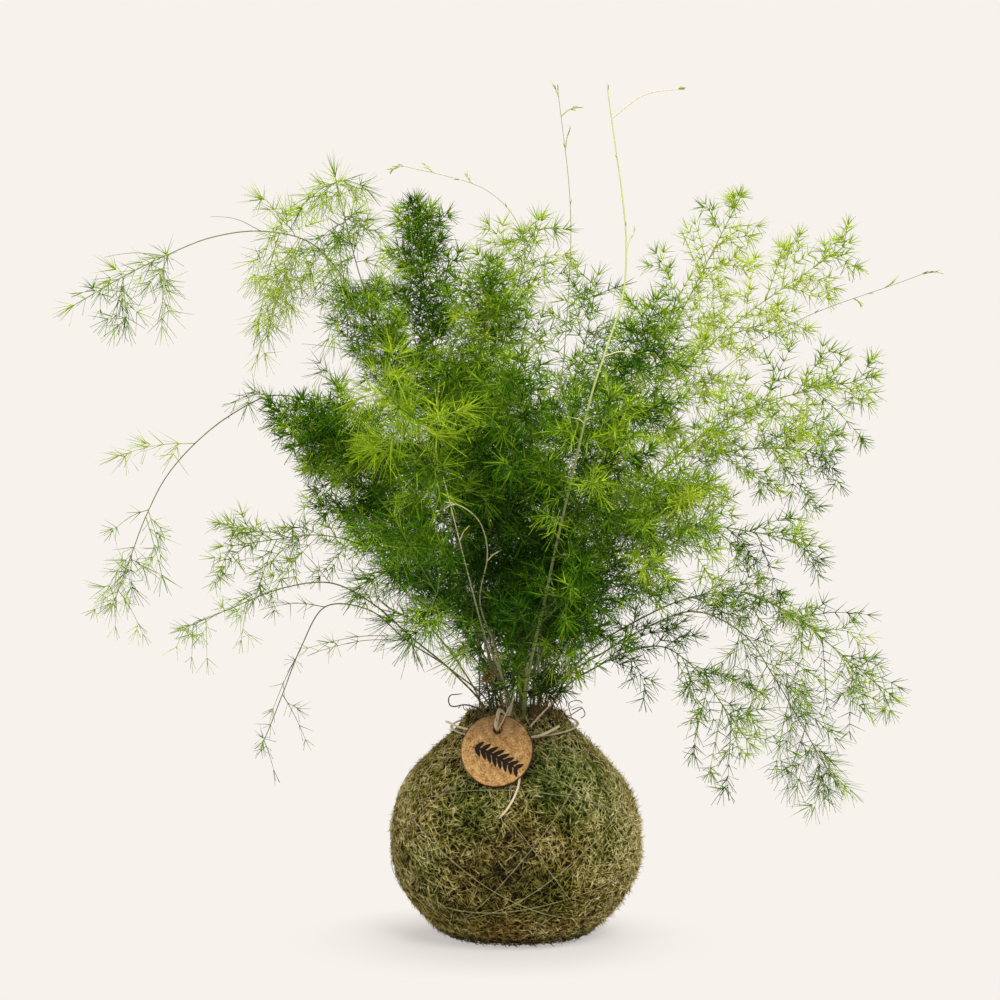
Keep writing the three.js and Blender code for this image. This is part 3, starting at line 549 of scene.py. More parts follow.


# Moss


# Patches of the moss, as (middle in millimetres, reach, strength): green where it stayed damp, brown where it
# is old, rust where the wet foot dried, painted light on the ball's sides, top and back, and painted shade
# low on its front
GREEN_PATCHES = [((30, -40, 92), 32, 0.95), ((-22, -52, 80), 22, 0.6), ((-44, -44, 44), 18, 0.4),
                 ((14, -62, 30), 16, 0.3), ((0, 56, 80), 34, 0.8), ((-56, 30, 60), 24, 0.5),
                 ((48, -40, 62), 20, 0.4), ((-50, -24, 84), 16, 0.3), ((60, 10, 50), 22, 0.4),
                 ((50, -30, 86), 19, 0.7)]
BROWN_PATCHES = [((-4, -64, 52), 20, 0.7), ((-28, -56, 38), 18, 0.6), ((30, 56, 40), 24, 0.6)]
RUST_PATCHES = [((-2, -46, 9), 15, 0.6), ((20, -40, 12), 9, 0.4), ((-34, 34, 10), 16, 0.5)]
PAINTED_LIGHT_PATCHES = [((66, -12, 62), 52, 0.19), ((-62, -16, 66), 34, 0.12), ((20, -22, 110), 26, 0.2),
                 ((0, 60, 60), 40, 0.15)]
PAINTED_SHADE_PATCHES = [((2, -66, 36), 30, 0.16), ((-22, -58, 52), 18, 0.1)]


def patch_mask(tree, patches):
    """How deep a place is in any of the patches, from 0 to 1, with ragged edges."""
    place = add_node(tree, "ShaderNodeTexCoord").outputs["Object"]
    ragged = add_node(
        tree, "ShaderNodeMath", (grain(tree, 14, 4), 24 * MM, -12 * MM), operation="MULTIPLY_ADD")
    total = 0.0
    for middle, reach, strength in patches:
        spot = tuple(value * MM for value in middle)
        far = add_node(tree, "ShaderNodeVectorMath", (place, spot), operation="DISTANCE")
        far = add_node(tree, "ShaderNodeMath", (far, ragged), operation="ADD")
        near = add_node(tree, "ShaderNodeMapRange", (far, reach * MM * 1.2, reach * MM * 0.5, 0.0, strength))
        total = add_node(tree, "ShaderNodeMath", (total, near), operation="MAXIMUM")
    return total


def paint_moss(settings):
    """Dried sheet moss: matt wiry fibres, green where damp, else straw and brown, with painted shade at their
    roots.
    """
    material, tree, shader = new_surface("dried_sheet_moss", 0.8, Specular_IOR_Level=0.12)
    tone, along = [
        add_node(tree, "ShaderNodeAttribute", attribute_name=name).outputs["Fac"]
        for name in ("shade", "along")]
    for feature, detail, offset in ((17, 4, -0.42), (3, 2, -0.4)):
        drift = add_node(
            tree, "ShaderNodeMath", (grain(tree, feature, detail), 0.8, offset), operation="MULTIPLY_ADD")
        tone = add_node(tree, "ShaderNodeMath", (tone, drift), operation="ADD")
    # Painted light and painted shade, in patches over the ball
    tone = add_node(tree, "ShaderNodeMath", (tone, patch_mask(tree, PAINTED_LIGHT_PATCHES)), operation="ADD")
    tone = add_node(
        tree, "ShaderNodeMath", (tone, patch_mask(tree, PAINTED_SHADE_PATCHES)), operation="SUBTRACT", use_clamp=True)
    bleached = 0xF0E2A0
    dry = [(0.0, 0x0A0703), (0.26, settings.brown), (0.5, settings.olive), (0.7, 0xA8983C),
           (0.82, settings.straw), (0.96, bleached)]
    damp = [(0.0, 0x0A1005), (0.28, 0x26380E), (0.54, settings.green), (0.76, 0x829C36), (0.9, 0xBCBA62),
            (1.0, bleached)]
    old = [(0.0, 0x0B0905), (0.42, settings.brown), (0.72, 0x786636), (0.92, settings.straw)]
    rust = [(0.0, 0x2A1A0C), (0.5, 0x94662A), (1.0, 0xD0A858)]
    colour = add_node(tree, "ShaderNodeValToRGB", (tone,), dry)
    for patches, stops in ((GREEN_PATCHES, damp), (BROWN_PATCHES, old), (RUST_PATCHES, rust)):
        other = add_node(tree, "ShaderNodeValToRGB", (tone,), stops)
        colour = add_node(tree, "ShaderNodeMix", (patch_mask(tree, patches), colour, other), data_type="RGBA")
    # Painted shade: each fibre darkens towards its root, where it lies in the gaps between the others, and
    # the moss goes near black towards the floor as a painted contact shadow
    root = add_node(tree, "ShaderNodeMapRange", (along, 0.0, 0.45, 0.14, 1.0))
    place = add_node(tree, "ShaderNodeTexCoord").outputs["Object"]
    height = add_node(tree, "ShaderNodeSeparateXYZ", (place,)).outputs[2]
    foot = add_node(tree, "ShaderNodeMapRange", (height, 1.5 * MM, 8 * MM, 0.04, 1.0))
    painted_shade = add_node(tree, "ShaderNodeMath", (root, foot), operation="MULTIPLY")
    colour = add_node(tree, "ShaderNodeMix", (1.0, colour, painted_shade), data_type="RGBA", blend_type="MULTIPLY")
    finish_surface(tree, shader, colour)
    return material


def paint_moss_bed():
    """The matted moss under the fibres: felt-like and crumbly, near black as painted shade between them."""
    # At the tucked-in foot the same near black shows as a painted contact shadow
    stops = [(0.35, 0x0C0A05), (0.6, 0x1D190C), (0.8, 0x363018)]
    return paint_grained("matted_moss_felt", 0.97, (1.5, 5), stops, 0.8, Specular_IOR_Level=0.1)


# The blanket in millimetres: how far it thins towards its lip and from which height, the lip's round section
# from the outside to the opening, as (radius, height over the lip's start), and its pits, as (depth, width)
LIP_TAPER = 3.5
LIP_TAPER_FROM = 95
LIP_START = NECK_HEIGHT - 4
LIP_OUTSIDE = ((NECK_RADIUS - 4.2, 1.4), (NECK_RADIUS - 5.0, 1.7))
LIP_INSIDE = ((NECK_OPENING - 0.6, 1.2), (NECK_OPENING - 0.8, -0.5))
PITS = ((0.9, 3.2), (0.6, 1.5))


def moss_bed():
    """The blanket itself: a closed revolved shell with a lumpy, pitted outside."""
    outline = [(0.0, 0.0), (0.5 * BASE_RADIUS, 0.0)]
    first_lumpy = len(outline)
    rows = 78
    for i in range(rows + 1):
        height = LIP_START * i / rows
        lip = max(0, (height - LIP_TAPER_FROM) / (LIP_START - LIP_TAPER_FROM)) ** 1.2
        taper = LIP_TAPER * lip + FOOT_TUCK * max(0, 1 - height / FOOT_ROUND) ** 2
        outline.append((moss_radius(height) - taper - BED_DEPTH * min(1, 0.15 + height / 6), height))
    outline += [(radius, LIP_START + rise) for radius, rise in LIP_OUTSIDE]
    after_lumpy = len(outline)
    outline += [(radius, LIP_START + rise) for radius, rise in LIP_INSIDE]
    rows = 14
    for i in range(rows + 1):
        height = SOIL_TOP - 2 - (SOIL_TOP - 2 - MOSS_THICKNESS) * i / rows
        outline.append((moss_radius(height) - MOSS_THICKNESS, height))
    outline.append((0.0, MOSS_THICKNESS))

    def lumps(row, angle, radius, height):
        if height <= 0.01 or not first_lumpy <= row < after_lumpy:
            return 0.0
        spot = Vector((math.cos(angle) * radius, math.sin(angle) * radius, height))
        pits = sum(depth * noise.noise(spot / width) for depth, width in PITS)
        return moss_lump(angle, height) + pits * min(1, height / 5)

    places, faces = revolve(outline, 190, lumps)
    return mesh_piece("moss_blanket", places, faces, paint_moss_bed())


def fibre_shape(name, bend=None):
    """One fibre of unit length and width: a straight one is a flat sliver, a bent one a curved spike."""
    if bend is None:
        places = [(-0.5, 0, 0), (0.5, 0, 0), (0, -0.3, 1), (0, 0.3, 1)]
        faces = [(0, 1, 2), (0, 3, 1), (0, 2, 3), (1, 3, 2)]
    else:
        ring = [(0.5 * math.cos(2 * math.pi * k / 3), 0.5 * math.sin(2 * math.pi * k / 3)) for k in range(3)]
        places = [(x, y, 0) for x, y in ring]
        places += [(x + bend * 0.25, y, 0.5) for x, y in ring]
        places.append((bend, 0, 1))
        faces = [(2, 1, 0)]
        for k in range(3):
            after = (k + 1) % 3
            faces.append((k, after, after + 3, k + 3))
            faces.append((k + 3, after + 3, 6))
    shape = mesh_piece(name, np.array(places, float) / MM, faces, smooth=False)
    store_values(shape.data, "along", [place[2] for place in places])
    return shape


def fibre_tree(material):
    """Fibres strewn over the moss, most of them lying along it and some standing up."""
    tree, entry = geometry_tree(
        "Moss fibres", shape="Object", density="Float", fibre_length="Float", fibre_width="Float",
        lift="Float", darkest="Float", lowest="Float", highest="Float", seed="Int")
    place = add_node(tree, "GeometryNodeInputPosition")
    x, y, level = add_node(tree, "ShaderNodeSeparateXYZ", (place,)).outputs
    chosen = add_node(tree, "GeometryNodeInputNamedAttribute", ("outside",), data_type="BOOLEAN")
    for limit, side in (("Lowest", "GREATER_THAN"), ("Highest", "LESS_THAN")):
        within = add_node(tree, "FunctionNodeCompare", (level, entry.outputs[limit]), operation=side)
        chosen = add_node(tree, "FunctionNodeBooleanMath", (chosen, within), operation="AND")
    spots = add_node(
        tree, "GeometryNodeDistributePointsOnFaces",
        (entry.outputs[0], chosen, entry.outputs["Density"], entry.outputs["Seed"]))
    normal = spots.outputs["Normal"]
    shade = add_node(tree, "FunctionNodeRandomValue", (entry.outputs["Darkest"], 1.0, None, 5))
    marked = add_node(
        tree, "GeometryNodeStoreNamedAttribute", (spots, None, "shade", shade), data_type="FLOAT",
        domain="POINT")
    any_way = add_node(
        tree, "FunctionNodeRandomValue", ((-1, -1, -1), (1, 1, 1), None, 6), data_type="FLOAT_VECTOR")
    lying = add_node(tree, "ShaderNodeVectorMath", (any_way, normal), operation="CROSS_PRODUCT")
    lying = add_node(tree, "ShaderNodeVectorMath", (lying,), operation="NORMALIZE")
    rise = add_node(tree, "FunctionNodeRandomValue", (0.0, 1.0, None, 7))
    rise = add_node(tree, "ShaderNodeMath", (rise, 3.0), operation="POWER")
    rise = add_node(tree, "ShaderNodeMath", (rise, entry.outputs["Lift"], 0.05), operation="MULTIPLY_ADD")
    lifted = add_node(tree, "ShaderNodeVectorMath", (normal, rise), operation="SCALE")
    heading = add_node(tree, "ShaderNodeVectorMath", (lying, lifted), operation="ADD")
    turn = add_node(tree, "FunctionNodeAlignRotationToVector", {"Vector": heading}, axis="Z")
    short = add_node(tree, "ShaderNodeMapRange", (level, 0.0, 8 * MM, 0.5, 1.0))
    stretch = add_node(tree, "FunctionNodeRandomValue", (0.55, 1.45, None, 8))
    stretch = add_node(tree, "ShaderNodeMath", (stretch, short), operation="MULTIPLY")
    long = add_node(tree, "ShaderNodeMath", (stretch, entry.outputs["Fibre length"]), operation="MULTIPLY")
    wide = entry.outputs["Fibre width"]
    size = add_node(tree, "ShaderNodeCombineXYZ", (wide, wide, long))
    shape = add_node(tree, "GeometryNodeObjectInfo", (entry.outputs["Shape"],)).outputs["Geometry"]
    # Painted shade: the darker a fibre's tone, the deeper it lies, so that dark fibres fill the gaps under
    # the pale ones
    out = add_node(tree, "ShaderNodeMath", (shade, 0.9 * MM), operation="MULTIPLY")
    step = add_node(tree, "ShaderNodeVectorMath", (normal, out), operation="SCALE")
    proud = add_node(tree, "GeometryNodeSetPosition", {"Geometry": marked, "Offset": step})
    laid = add_node(
        tree, "GeometryNodeInstanceOnPoints",
        {"Points": proud, "Instance": shape, "Rotation": turn, "Scale": size})
    real = add_node(tree, "GeometryNodeRealizeInstances", (laid,))
    kept_up = add_node(tree, "ShaderNodeMath", (level, 0.12 * MM), operation="MAXIMUM")
    put = add_node(tree, "ShaderNodeCombineXYZ", (x, y, kept_up))
    raised = add_node(tree, "GeometryNodeSetPosition", {"Geometry": real, "Position": put})
    return end_tree(tree, raised, material)


# Where fibres grow, in millimetres: on the outside from just over the floor, and on the rim this far down
FIBRES_FROM = 0.4
RIM_DEPTH = 14

# How far to the side a curled fibre's tip lies, in its own widths
CURL_REACH = 4.4


class KOKEDAMA_OT_moss(bpy.types.Operator):
    """Make the moss blanket and strew its fibres over it"""

    bl_idname = "kokedama.moss"
    bl_label = "Moss"

    def execute(self, context):
        settings = context.scene.kokedama_moss
        bed = moss_bed()
        mesh = bed.data
        heights = np.array([v.co.z for v in mesh.vertices]) / MM
        reach = np.array([math.hypot(v.co.x, v.co.y) for v in mesh.vertices]) / MM
        skin = np.array([moss_radius(h) for h in heights]) - MOSS_THICKNESS * 0.55
        rim = (heights > NECK_HEIGHT - RIM_DEPTH) & (reach > NECK_OPENING - 0.7)
        store_values(mesh, "outside", ((reach > skin) & (heights > FIBRES_FROM)) | rim, "BOOLEAN")
        marks = mesh.attributes["outside"].data
        area = sum(p.area for p in mesh.polygons if all(marks[v].value for v in p.vertices))
        tree = fibre_tree(paint_moss(settings))
        middle, far = BELLY_HEIGHT * MM, 1.0
        straight, bent = fibre_shape("straight_fibre"), fibre_shape("bent_fibre", CURL_REACH)
        layers = (
            ("moss_fibres_low", straight, settings.straight, 1.0, 0.32, 0.0, -far, middle, 21),
            ("moss_fibres_high", straight, settings.straight, 1.0, 0.32, 0.0, middle, far, 22),
            ("moss_curls", bent, settings.curled, 1.2, 0.6, 0.1, -far, far, 23),
            ("moss_straws", straight, settings.straws, 2.5, 0.08, 0.7, -far, far, 24),
        )
        for name, shape, count, stretch, lift, darkest, lowest, highest, seed in layers:
            fibres = new_piece(name, mesh.copy())
            bake_nodes(
                fibres, tree, shape=shape, density=count / area, fibre_length=stretch * settings.fibre_length,
                fibre_width=settings.fibre_width, lift=lift, darkest=darkest, lowest=lowest, highest=highest,
                seed=seed)
            seat(fibres, "moss")
        drop_shapes(straight, bent)
        seat(bed, "moss", "moss_cover")
        return {"FINISHED"}


# Thread


def paint_thread(settings):
    """Cotton sewing thread: two plies, dull, with painted shade in cloudy spots for the twist between them.
    """
    # Painted shade: a darker copy of the thread's colour, in a cloudy pattern, for the twist between the
    # plies
    dark = [0.55 * value for value in settings.thread_colour]
    stops = [(0.35, dark), (0.65, settings.thread_colour)]
    return paint_grained("cotton_thread", 0.8, (0.8, 2), stops, 0.1, Specular_IOR_Level=0.2)


def strand_tree(name, material):
    """A round strand along the edges of a mesh."""
    tree, entry = geometry_tree(name, width="Float", sides="Int")
    path = add_node(tree, "GeometryNodeMeshToCurve", (entry.outputs[0],))
    half = add_node(tree, "ShaderNodeMath", (entry.outputs["Width"], 0.5), operation="MULTIPLY")
    ring = add_node(tree, "GeometryNodeCurvePrimitiveCircle", (entry.outputs["Sides"], half))
    strand = add_node(
        tree, "GeometryNodeCurveToMesh", {"Curve": path, "Profile Curve": ring, "Fill Caps": True})
    return end_tree(tree, strand, material)


# The thread's turns: their tilt and heading in radians, and the height of their middle in millimetres
THREAD_TURNS = ((0.62, 0.5, 50), (0.6, 2.6, 50), (0.55, 4.6, 52), (0.92, 1.75, 54), (0.88, 0.1, 55),
                (0.94, 3.3, 54), (0.9, 5.2, 55), (0.8, 4.2, 57), (0.35, 1.2, 44))
THREAD_STEPS = 150

# Up to this height the thread is pressed flat under the ball, and over this rise it comes out on the fibres,
# in millimetres
THREAD_CLOSE_TO = 12
THREAD_RISE = 14


def thread_turn(tilt, heading, centre_height):
    """A tilted turn of thread that follows the moss, pressed a little into its fibres."""
    centre = (0, 0, centre_height)
    across = np.array((-math.sin(heading), math.cos(heading), 0.0))
    along = np.array(
        (math.cos(heading) * math.cos(tilt), math.sin(heading) * math.cos(tilt), math.sin(tilt)))
    points = []
    for i in range(THREAD_STEPS):
        turn = 2 * math.pi * i / THREAD_STEPS
        ray = along * math.cos(turn) + across * math.sin(turn)
        # Halves the span in which the ray leaves the moss
        near, far = 0.0, 150.0
        for _ in range(30):
            middle = (near + far) / 2
            x, y, z = ray * middle + centre
            inside = math.hypot(x, y) < moss_radius(z) + moss_lump(math.atan2(y, x), z)
            near, far = (middle, far) if inside else (near, middle)
        free = min(1, max(0, ray[2] * far + centre_height - THREAD_CLOSE_TO) / THREAD_RISE)
        proud = (1.0 + 0.7 * math.sin(5 * turn + 9 * tilt + heading)) * free
        points.append(ray * (far + proud) + centre)
    return points


def closed_paths(name, paths):
    """A mesh of closed edge loops."""
    edges = []
    for number, path in enumerate(paths):
        start, count = number * THREAD_STEPS, len(path)
        edges.extend((start + i, start + (i + 1) % count) for i in range(count))
    mesh = bpy.data.meshes.new(name)
    mesh.from_pydata((np.concatenate(paths) * MM).tolist(), edges, [])
    return mesh


class KOKEDAMA_OT_thread(bpy.types.Operator):
    """Wind the thread round the moss"""

    bl_idname = "kokedama.thread"
    bl_label = "Winding thread"

    def execute(self, context):
        settings = context.scene.kokedama_tie
        paths = [thread_turn(*turn) for turn in THREAD_TURNS]
        thread = new_piece("thread_winding", closed_paths("thread_winding", paths))
        strand = strand_tree("Wound thread", paint_thread(settings))
        bake_nodes(thread, strand, width=settings.thread_width, sides=5)
        seat(thread, "thread", "winding_thread")
        return {"FINISHED"}


# Tag and its tie


# The tag's own directions, and the middle of its back in millimetres, from its place in the frame
TAG_OUT = np.array((
    math.sin(TAG_TURN) * math.cos(TAG_TILT), -math.cos(TAG_TURN) * math.cos(TAG_TILT), math.sin(TAG_TILT)))
TAG_ACROSS = np.array((math.cos(TAG_TURN), math.sin(TAG_TURN), 0.0))
TAG_UP = np.cross(TAG_OUT, TAG_ACROSS)
TAG_BACK = np.array(sum(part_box("name_tag"), Vector()) / 2) / MM - TAG_OUT * TAG_THICKNESS / 2

# How far the tag's edges are rounded, in millimetres
TAG_EDGE = 0.35


def tag_point(across, up, out):
    """A place by its distances from the middle of the tag's back."""
    return TAG_BACK + TAG_ACROSS * across + TAG_UP * up + TAG_OUT * out


def place_on_tag(mesh):
    """Moves a mesh from the tag's own plane, in millimetres, to its place, and keeps its flat coordinates."""
    flat = np.array([v.co[:] for v in mesh.vertices])
    store_values(mesh, "tag_place", flat, "FLOAT_VECTOR")
    turn = Matrix((TAG_ACROSS, TAG_UP, TAG_OUT)).transposed()
    mesh.transform(Matrix.LocRotScale(Vector(TAG_BACK) * MM, turn.to_quaternion(), Vector((MM, MM, MM))))


def paint_tag(settings):
    """Slice of a hardwood branch, sanded, oiled: mottled end grain, faint rings, scorched rim and hole."""
    material, tree, shader = new_surface("oiled_branch_slice", 0.6, Specular_IOR_Level=0.25)
    place = add_node(tree, "ShaderNodeAttribute", attribute_name="tag_place").outputs["Vector"]
    split = add_node(tree, "ShaderNodeSeparateXYZ", (place,))
    flat = add_node(tree, "ShaderNodeCombineXYZ", (split.outputs[0], split.outputs[1]))
    from_pith, from_middle, from_hole = (
        add_node(tree, "ShaderNodeVectorMath", (flat, (x, y, 0.0)), operation="DISTANCE")
        for x, y in (PITH, (0.0, 0.0), (0.0, TAG_HOLE_OFFSET)))
    sway = add_node(tree, "ShaderNodeTexNoise", (place, 0.22, 3.0))
    phase = add_node(tree, "ShaderNodeMath", (from_pith, 2 * math.pi / YEAR_RING), operation="MULTIPLY")
    phase = add_node(tree, "ShaderNodeMath", (sway, 6.0, phase), operation="MULTIPLY_ADD")
    rings = add_node(tree, "ShaderNodeMath", (phase,), operation="SINE")
    speck = add_node(tree, "ShaderNodeTexNoise", (flat, 1.0, 8.0, 0.75))
    cloud = add_node(tree, "ShaderNodeTexNoise", (flat, 0.28, 3.0))
    tone = -0.98
    for pattern, share in ((cloud, 1.0), (speck, 1.9), (rings, 0.04)):
        tone = add_node(tree, "ShaderNodeMath", (pattern, share, tone), operation="MULTIPLY_ADD")
    stops = [(0.1, 0x5E3A18), (0.36, settings.wood), (0.6, 0xD4A664), (0.9, 0xF2D49E)]
    colour = add_node(tree, "ShaderNodeValToRGB", (tone,), stops)
    # Darker towards the tag's top, in blotches, to a grey brown
    top_darkening = add_node(tree, "ShaderNodeMapRange", (split.outputs[1], 3.0, 17.0, 0.0, 0.6))
    blotch = add_node(tree, "ShaderNodeMath", (sway, 1.8, -0.1), operation="MULTIPLY_ADD")
    top_darkening = add_node(tree, "ShaderNodeMath", (top_darkening, blotch), operation="MULTIPLY", use_clamp=True)
    colour = add_node(tree, "ShaderNodeMix", (top_darkening, colour, linear(0x5E4A30)), data_type="RGBA")
    wavy = add_node(tree, "ShaderNodeMath", (sway, 0.9, from_middle), operation="MULTIPLY_ADD")
    edge = add_node(tree, "ShaderNodeMapRange", (wavy, TAG_RADIUS - 0.4, TAG_RADIUS + 0.4))
    ring = add_node(tree, "ShaderNodeMapRange", (from_hole, TAG_HOLE_RADIUS + 0.9, TAG_HOLE_RADIUS))
    scorch = add_node(tree, "ShaderNodeMath", (edge, ring), operation="MAXIMUM")
    colour = add_node(tree, "ShaderNodeMix", (scorch, colour, opaque(settings.burnt)), data_type="RGBA")
    finish_surface(tree, shader, colour, tone, 0.05, 0.5)
    return material


def tag_slice(settings):
    """The slice: a nearly round outline with its hole, softened at both edges."""
    shape = bpy.data.curves.new("wooden_tag", "CURVE")
    shape.dimensions = "2D"
    shape.fill_mode = "BOTH"
    shape.extrude = TAG_THICKNESS / 2 - TAG_EDGE
    shape.bevel_depth = TAG_EDGE
    shape.bevel_resolution = 3
    rim, hole = TAG_RADIUS - TAG_EDGE, TAG_HOLE_RADIUS + TAG_EDGE
    for count, radius, waves, up in ((120, rim, 1, 0), (40, hole, 0, TAG_HOLE_OFFSET)):
        spline = shape.splines.new("POLY")
        spline.points.add(count - 1)
        for i, point in enumerate(spline.points):
            angle = 2 * math.pi * i / count
            reach = radius + waves * (0.16 * math.sin(3 * angle + 1) + 0.07 * math.sin(11 * angle))
            point.co = (reach * math.cos(angle), up + reach * math.sin(angle), 0, 1)
        spline.use_cyclic_u = True
    maker = new_piece("tag_outline", shape)
    graph = bpy.context.evaluated_depsgraph_get()
    mesh = bpy.data.meshes.new_from_object(maker.evaluated_get(graph), depsgraph=graph)
    bpy.data.objects.remove(maker)
    mesh.transform(Matrix.Translation((0, 0, TAG_THICKNESS / 2)))
    place_on_tag(mesh)
    mesh.materials.clear()
    mesh.materials.append(paint_tag(settings))
    mesh.name = "wooden_tag"
    return new_piece("wooden_tag", mesh)


def paint_ink(settings):
    """Lines burnt into wood with a hot pen: near black, dull, brown where they thin out."""
    stops = [(0.35, settings.ink), (0.8, 0x33231A)]
    return paint_grained("pyrography_line", 0.75, (0.9, 3), stops, Specular_IOR_Level=0.2)


def tag_sprig(settings):
    """A plain leafy sprig burnt across the tag."""
    strokes = []
    stalk = [(-13.2, 1.6), (-7.5, 0.2), (-1.0, -2.6), (6.0, -6.4), (12.4, -9.8)]
    line = Line([(x, y, 0) for x, y in stalk], step=0.6, closest=0.1)
    strokes.append((line.points, 0.7))
    for i in range(8):
        length = line.total * (0.08 + 0.115 * i)
        (place,), (along,) = line.at([length])
        for side in (-1, 1):
            angle = math.atan2(along[1], along[0]) + side * math.radians(48)
            reach = 6.6 - 0.4 * abs(i - 3)
            tip = place + reach * np.array((math.cos(angle), math.sin(angle), 0))
            bow = place + 0.55 * (tip - place) + side * 0.35 * np.array((along[1], -along[0], 0))
            strokes.append((Line([place, bow, tip], step=0.5, closest=0.1).points, 1.0))
    section = [(math.cos(a), 0.28 * math.sin(a)) for a in np.linspace(0, 2 * math.pi, 8, endpoint=False)]
    parts = []
    for points, radius in strokes:
        t = np.linspace(0, 1, len(points))
        even = np.clip(np.minimum(t * 6, (1 - t) * 5), 0.15, 1)
        leaf = 0.12 + np.sin(math.pi * t**0.8) ** 0.8
        sizes = radius * (even if points is line.points else leaf)
        parts.append(sweep(points + (0, 0, TAG_THICKNESS), section, (0, 0, 1), sizes))
    places, faces = join_parts(parts)
    sprig = mesh_piece("tag_sprig", np.array(places) / MM, faces, paint_ink(settings))
    place_on_tag(sprig.data)
    return sprig


class KOKEDAMA_OT_tag(bpy.types.Operator):
    """Make the wooden tag and the sprig drawn on it"""

    bl_idname = "kokedama.tag"
    bl_label = "Wooden tag"

    def execute(self, context):
        settings = context.scene.kokedama_tag
        seat(tag_slice(settings), "tag_wood", "name_tag")
        seat(tag_sprig(settings), "tag_wood")
        return {"FINISHED"}


def paint_raffia(settings):
    """Raffia, a split palm leaf: pale straw, satin, with fine fibres along it and a few brown flecks."""
    material, tree, shader = new_surface("palm_raffia", 0.5)
    across, along = [
        add_node(tree, "ShaderNodeAttribute", attribute_name=name).outputs["Fac"]
        for name in ("across", "along")]
    along = add_node(tree, "ShaderNodeMath", (along, 0.03), operation="MULTIPLY")
    place = add_node(tree, "ShaderNodeCombineXYZ", (across, along))
    fibres = add_node(tree, "ShaderNodeTexNoise", (place, 7.0, 4.0))
    shaded = [0.7 * value for value in settings.raffia_colour]
    stops = [(0.3, shaded), (0.55, settings.raffia_colour), (0.8, 0xFFF6DC)]
    colour = add_node(tree, "ShaderNodeValToRGB", (fibres,), stops)
    brown = add_node(tree, "ShaderNodeMapRange", (grain(tree, 4, 3), 0.6, 0.78, 0.0, 0.5))
    colour = add_node(tree, "ShaderNodeMix", (brown, colour, linear(0x9A7B4C)), data_type="RGBA")
    finish_surface(tree, shader, colour, fibres, 0.15)
    return material


def raffia_strand(points, width, up, twist):
    """A flat ribbon with rounded edges and fibre ridges, narrower at both ends."""
    line = Line(points, step=1.0, closest=0.5)
    ridges = 7
    top = [(-0.5 + k / ridges, 0.5 + 0.22 * (k % 2)) for k in range(1, ridges)]
    profile = [(-0.5, 0.0)] + top + [(0.5, 0.0)] + [(x, -y) for x, y in reversed(top)]
    section = [(x * width, y * RAFFIA_THICKNESS) for x, y in profile]
    count = len(line.points)
    share = np.linspace(0, 1, count)
    sizes = np.clip(np.minimum(share * 12, (1 - share) * 8) + 0.45, 0, 1)
    places, faces = sweep(line.points, section, up, sizes, twist * share)
    across = np.tile([x for x, _ in profile], count)
    along = np.repeat(line.lengths, len(section))
    return (places, faces), across, along


# The raffia in millimetres: its thickness, the height of its ring round the neck, and its knot
RAFFIA_THICKNESS = 0.32
RING_HEIGHT = 109
KNOT = (-4.0, -36.0, 119.5)


def raffia_paths():
    """Where the raffia runs: the ring round the neck, the loop through the tag and the loose tails.

    Each is its points in millimetres, its width as a share of the usual, the way it faces and its twist.
    """
    front = TAG_THICKNESS + 1
    ring = [on_moss(a, RING_HEIGHT + 1.5 * math.sin(a + 0.6), 1.25)
            for a in np.linspace(-0.4 * math.pi, 1.8 * math.pi, 64)]
    hole_back = tag_point(0, TAG_HOLE_OFFSET, -1.2)
    outward = (0, -1, 0.3)
    loop = [hole_back, tag_point(0.1, TAG_HOLE_OFFSET, 1.5),
            tag_point(-0.5, TAG_HOLE_OFFSET + 1.6, front + 0.5), tag_point(-0.2, TAG_RADIUS - 2, front + 0.4),
            tag_point(0.4, TAG_RADIUS + 1.6, front - 0.6), KNOT, (-3.2, -32.0, 121.0), (-1.8, -27.5, 125.0)]
    tail = [hole_back, tag_point(0.3, TAG_HOLE_OFFSET, 1.5), tag_point(0.9, TAG_HOLE_OFFSET + 0.9, front),
            tag_point(3.0, TAG_RADIUS - 3.0, front + 0.4), tag_point(5.0, TAG_RADIUS + 2.5, front - 0.4),
            tag_point(6.6, TAG_RADIUS + 7, 1.0), tag_point(6.8, TAG_RADIUS + 13, -1.5)]
    return [
        (ring, 0.9, (0, 0, 1), 0.0),
        (loop, 1.25, TAG_OUT, 0.3),
        (tail, 0.85, TAG_OUT, -0.5),
        ([KNOT, (-5.0, -36.6, 114.0), on_moss(-1.62, RING_HEIGHT, 1.4)], 0.8, outward, 0.4),
        ([(1.5, -37.5, 101.0), (0.9, -56.5, 86.5), (-1.4, -60.6, 81.5), (-4.8, -63.4, 76.5),
          (-8.6, -65.2, 72.4)], 0.62, outward, 0.9),
        ([(6.0, -33.8, 108.0), (12.0, -34.5, 109.2), (18.5, -31.0, 111.5), (22.5, -26.5, 113.0)],
         0.75, outward, 0.2),
        ([(7.0, -31.5, 113.0), (13.5, -27.0, 119.5), (21.0, -22.0, 126.0)], 0.5, outward, 0.6),
        ([(-36.0, -18.0, 114.0), (-28.0, -27.5, 112.2), (-19.5, -32.0, 111.0)], 0.6, outward, 0.3),
    ]


class KOKEDAMA_OT_raffia(bpy.types.Operator):
    """Tie the raffia round the neck and through the tag"""

    bl_idname = "kokedama.raffia"
    bl_label = "Raffia tie"

    def execute(self, context):
        settings = context.scene.kokedama_tie
        parts, across, along = [], [], []
        for points, share, up, twist in raffia_paths():
            part, side, reach = raffia_strand(points, share * settings.raffia_width / MM, up, twist)
            parts.append(part)
            across.append(side)
            along.append(reach)
        places, faces = join_parts(parts)
        raffia = mesh_piece("raffia_strands", places, faces, paint_raffia(settings))
        store_values(raffia.data, "across", np.concatenate(across))
        store_values(raffia.data, "along", np.concatenate(along))
        seat(raffia, "raffia", "raffia_tie")
        return {"FINISHED"}


# Stems and needles


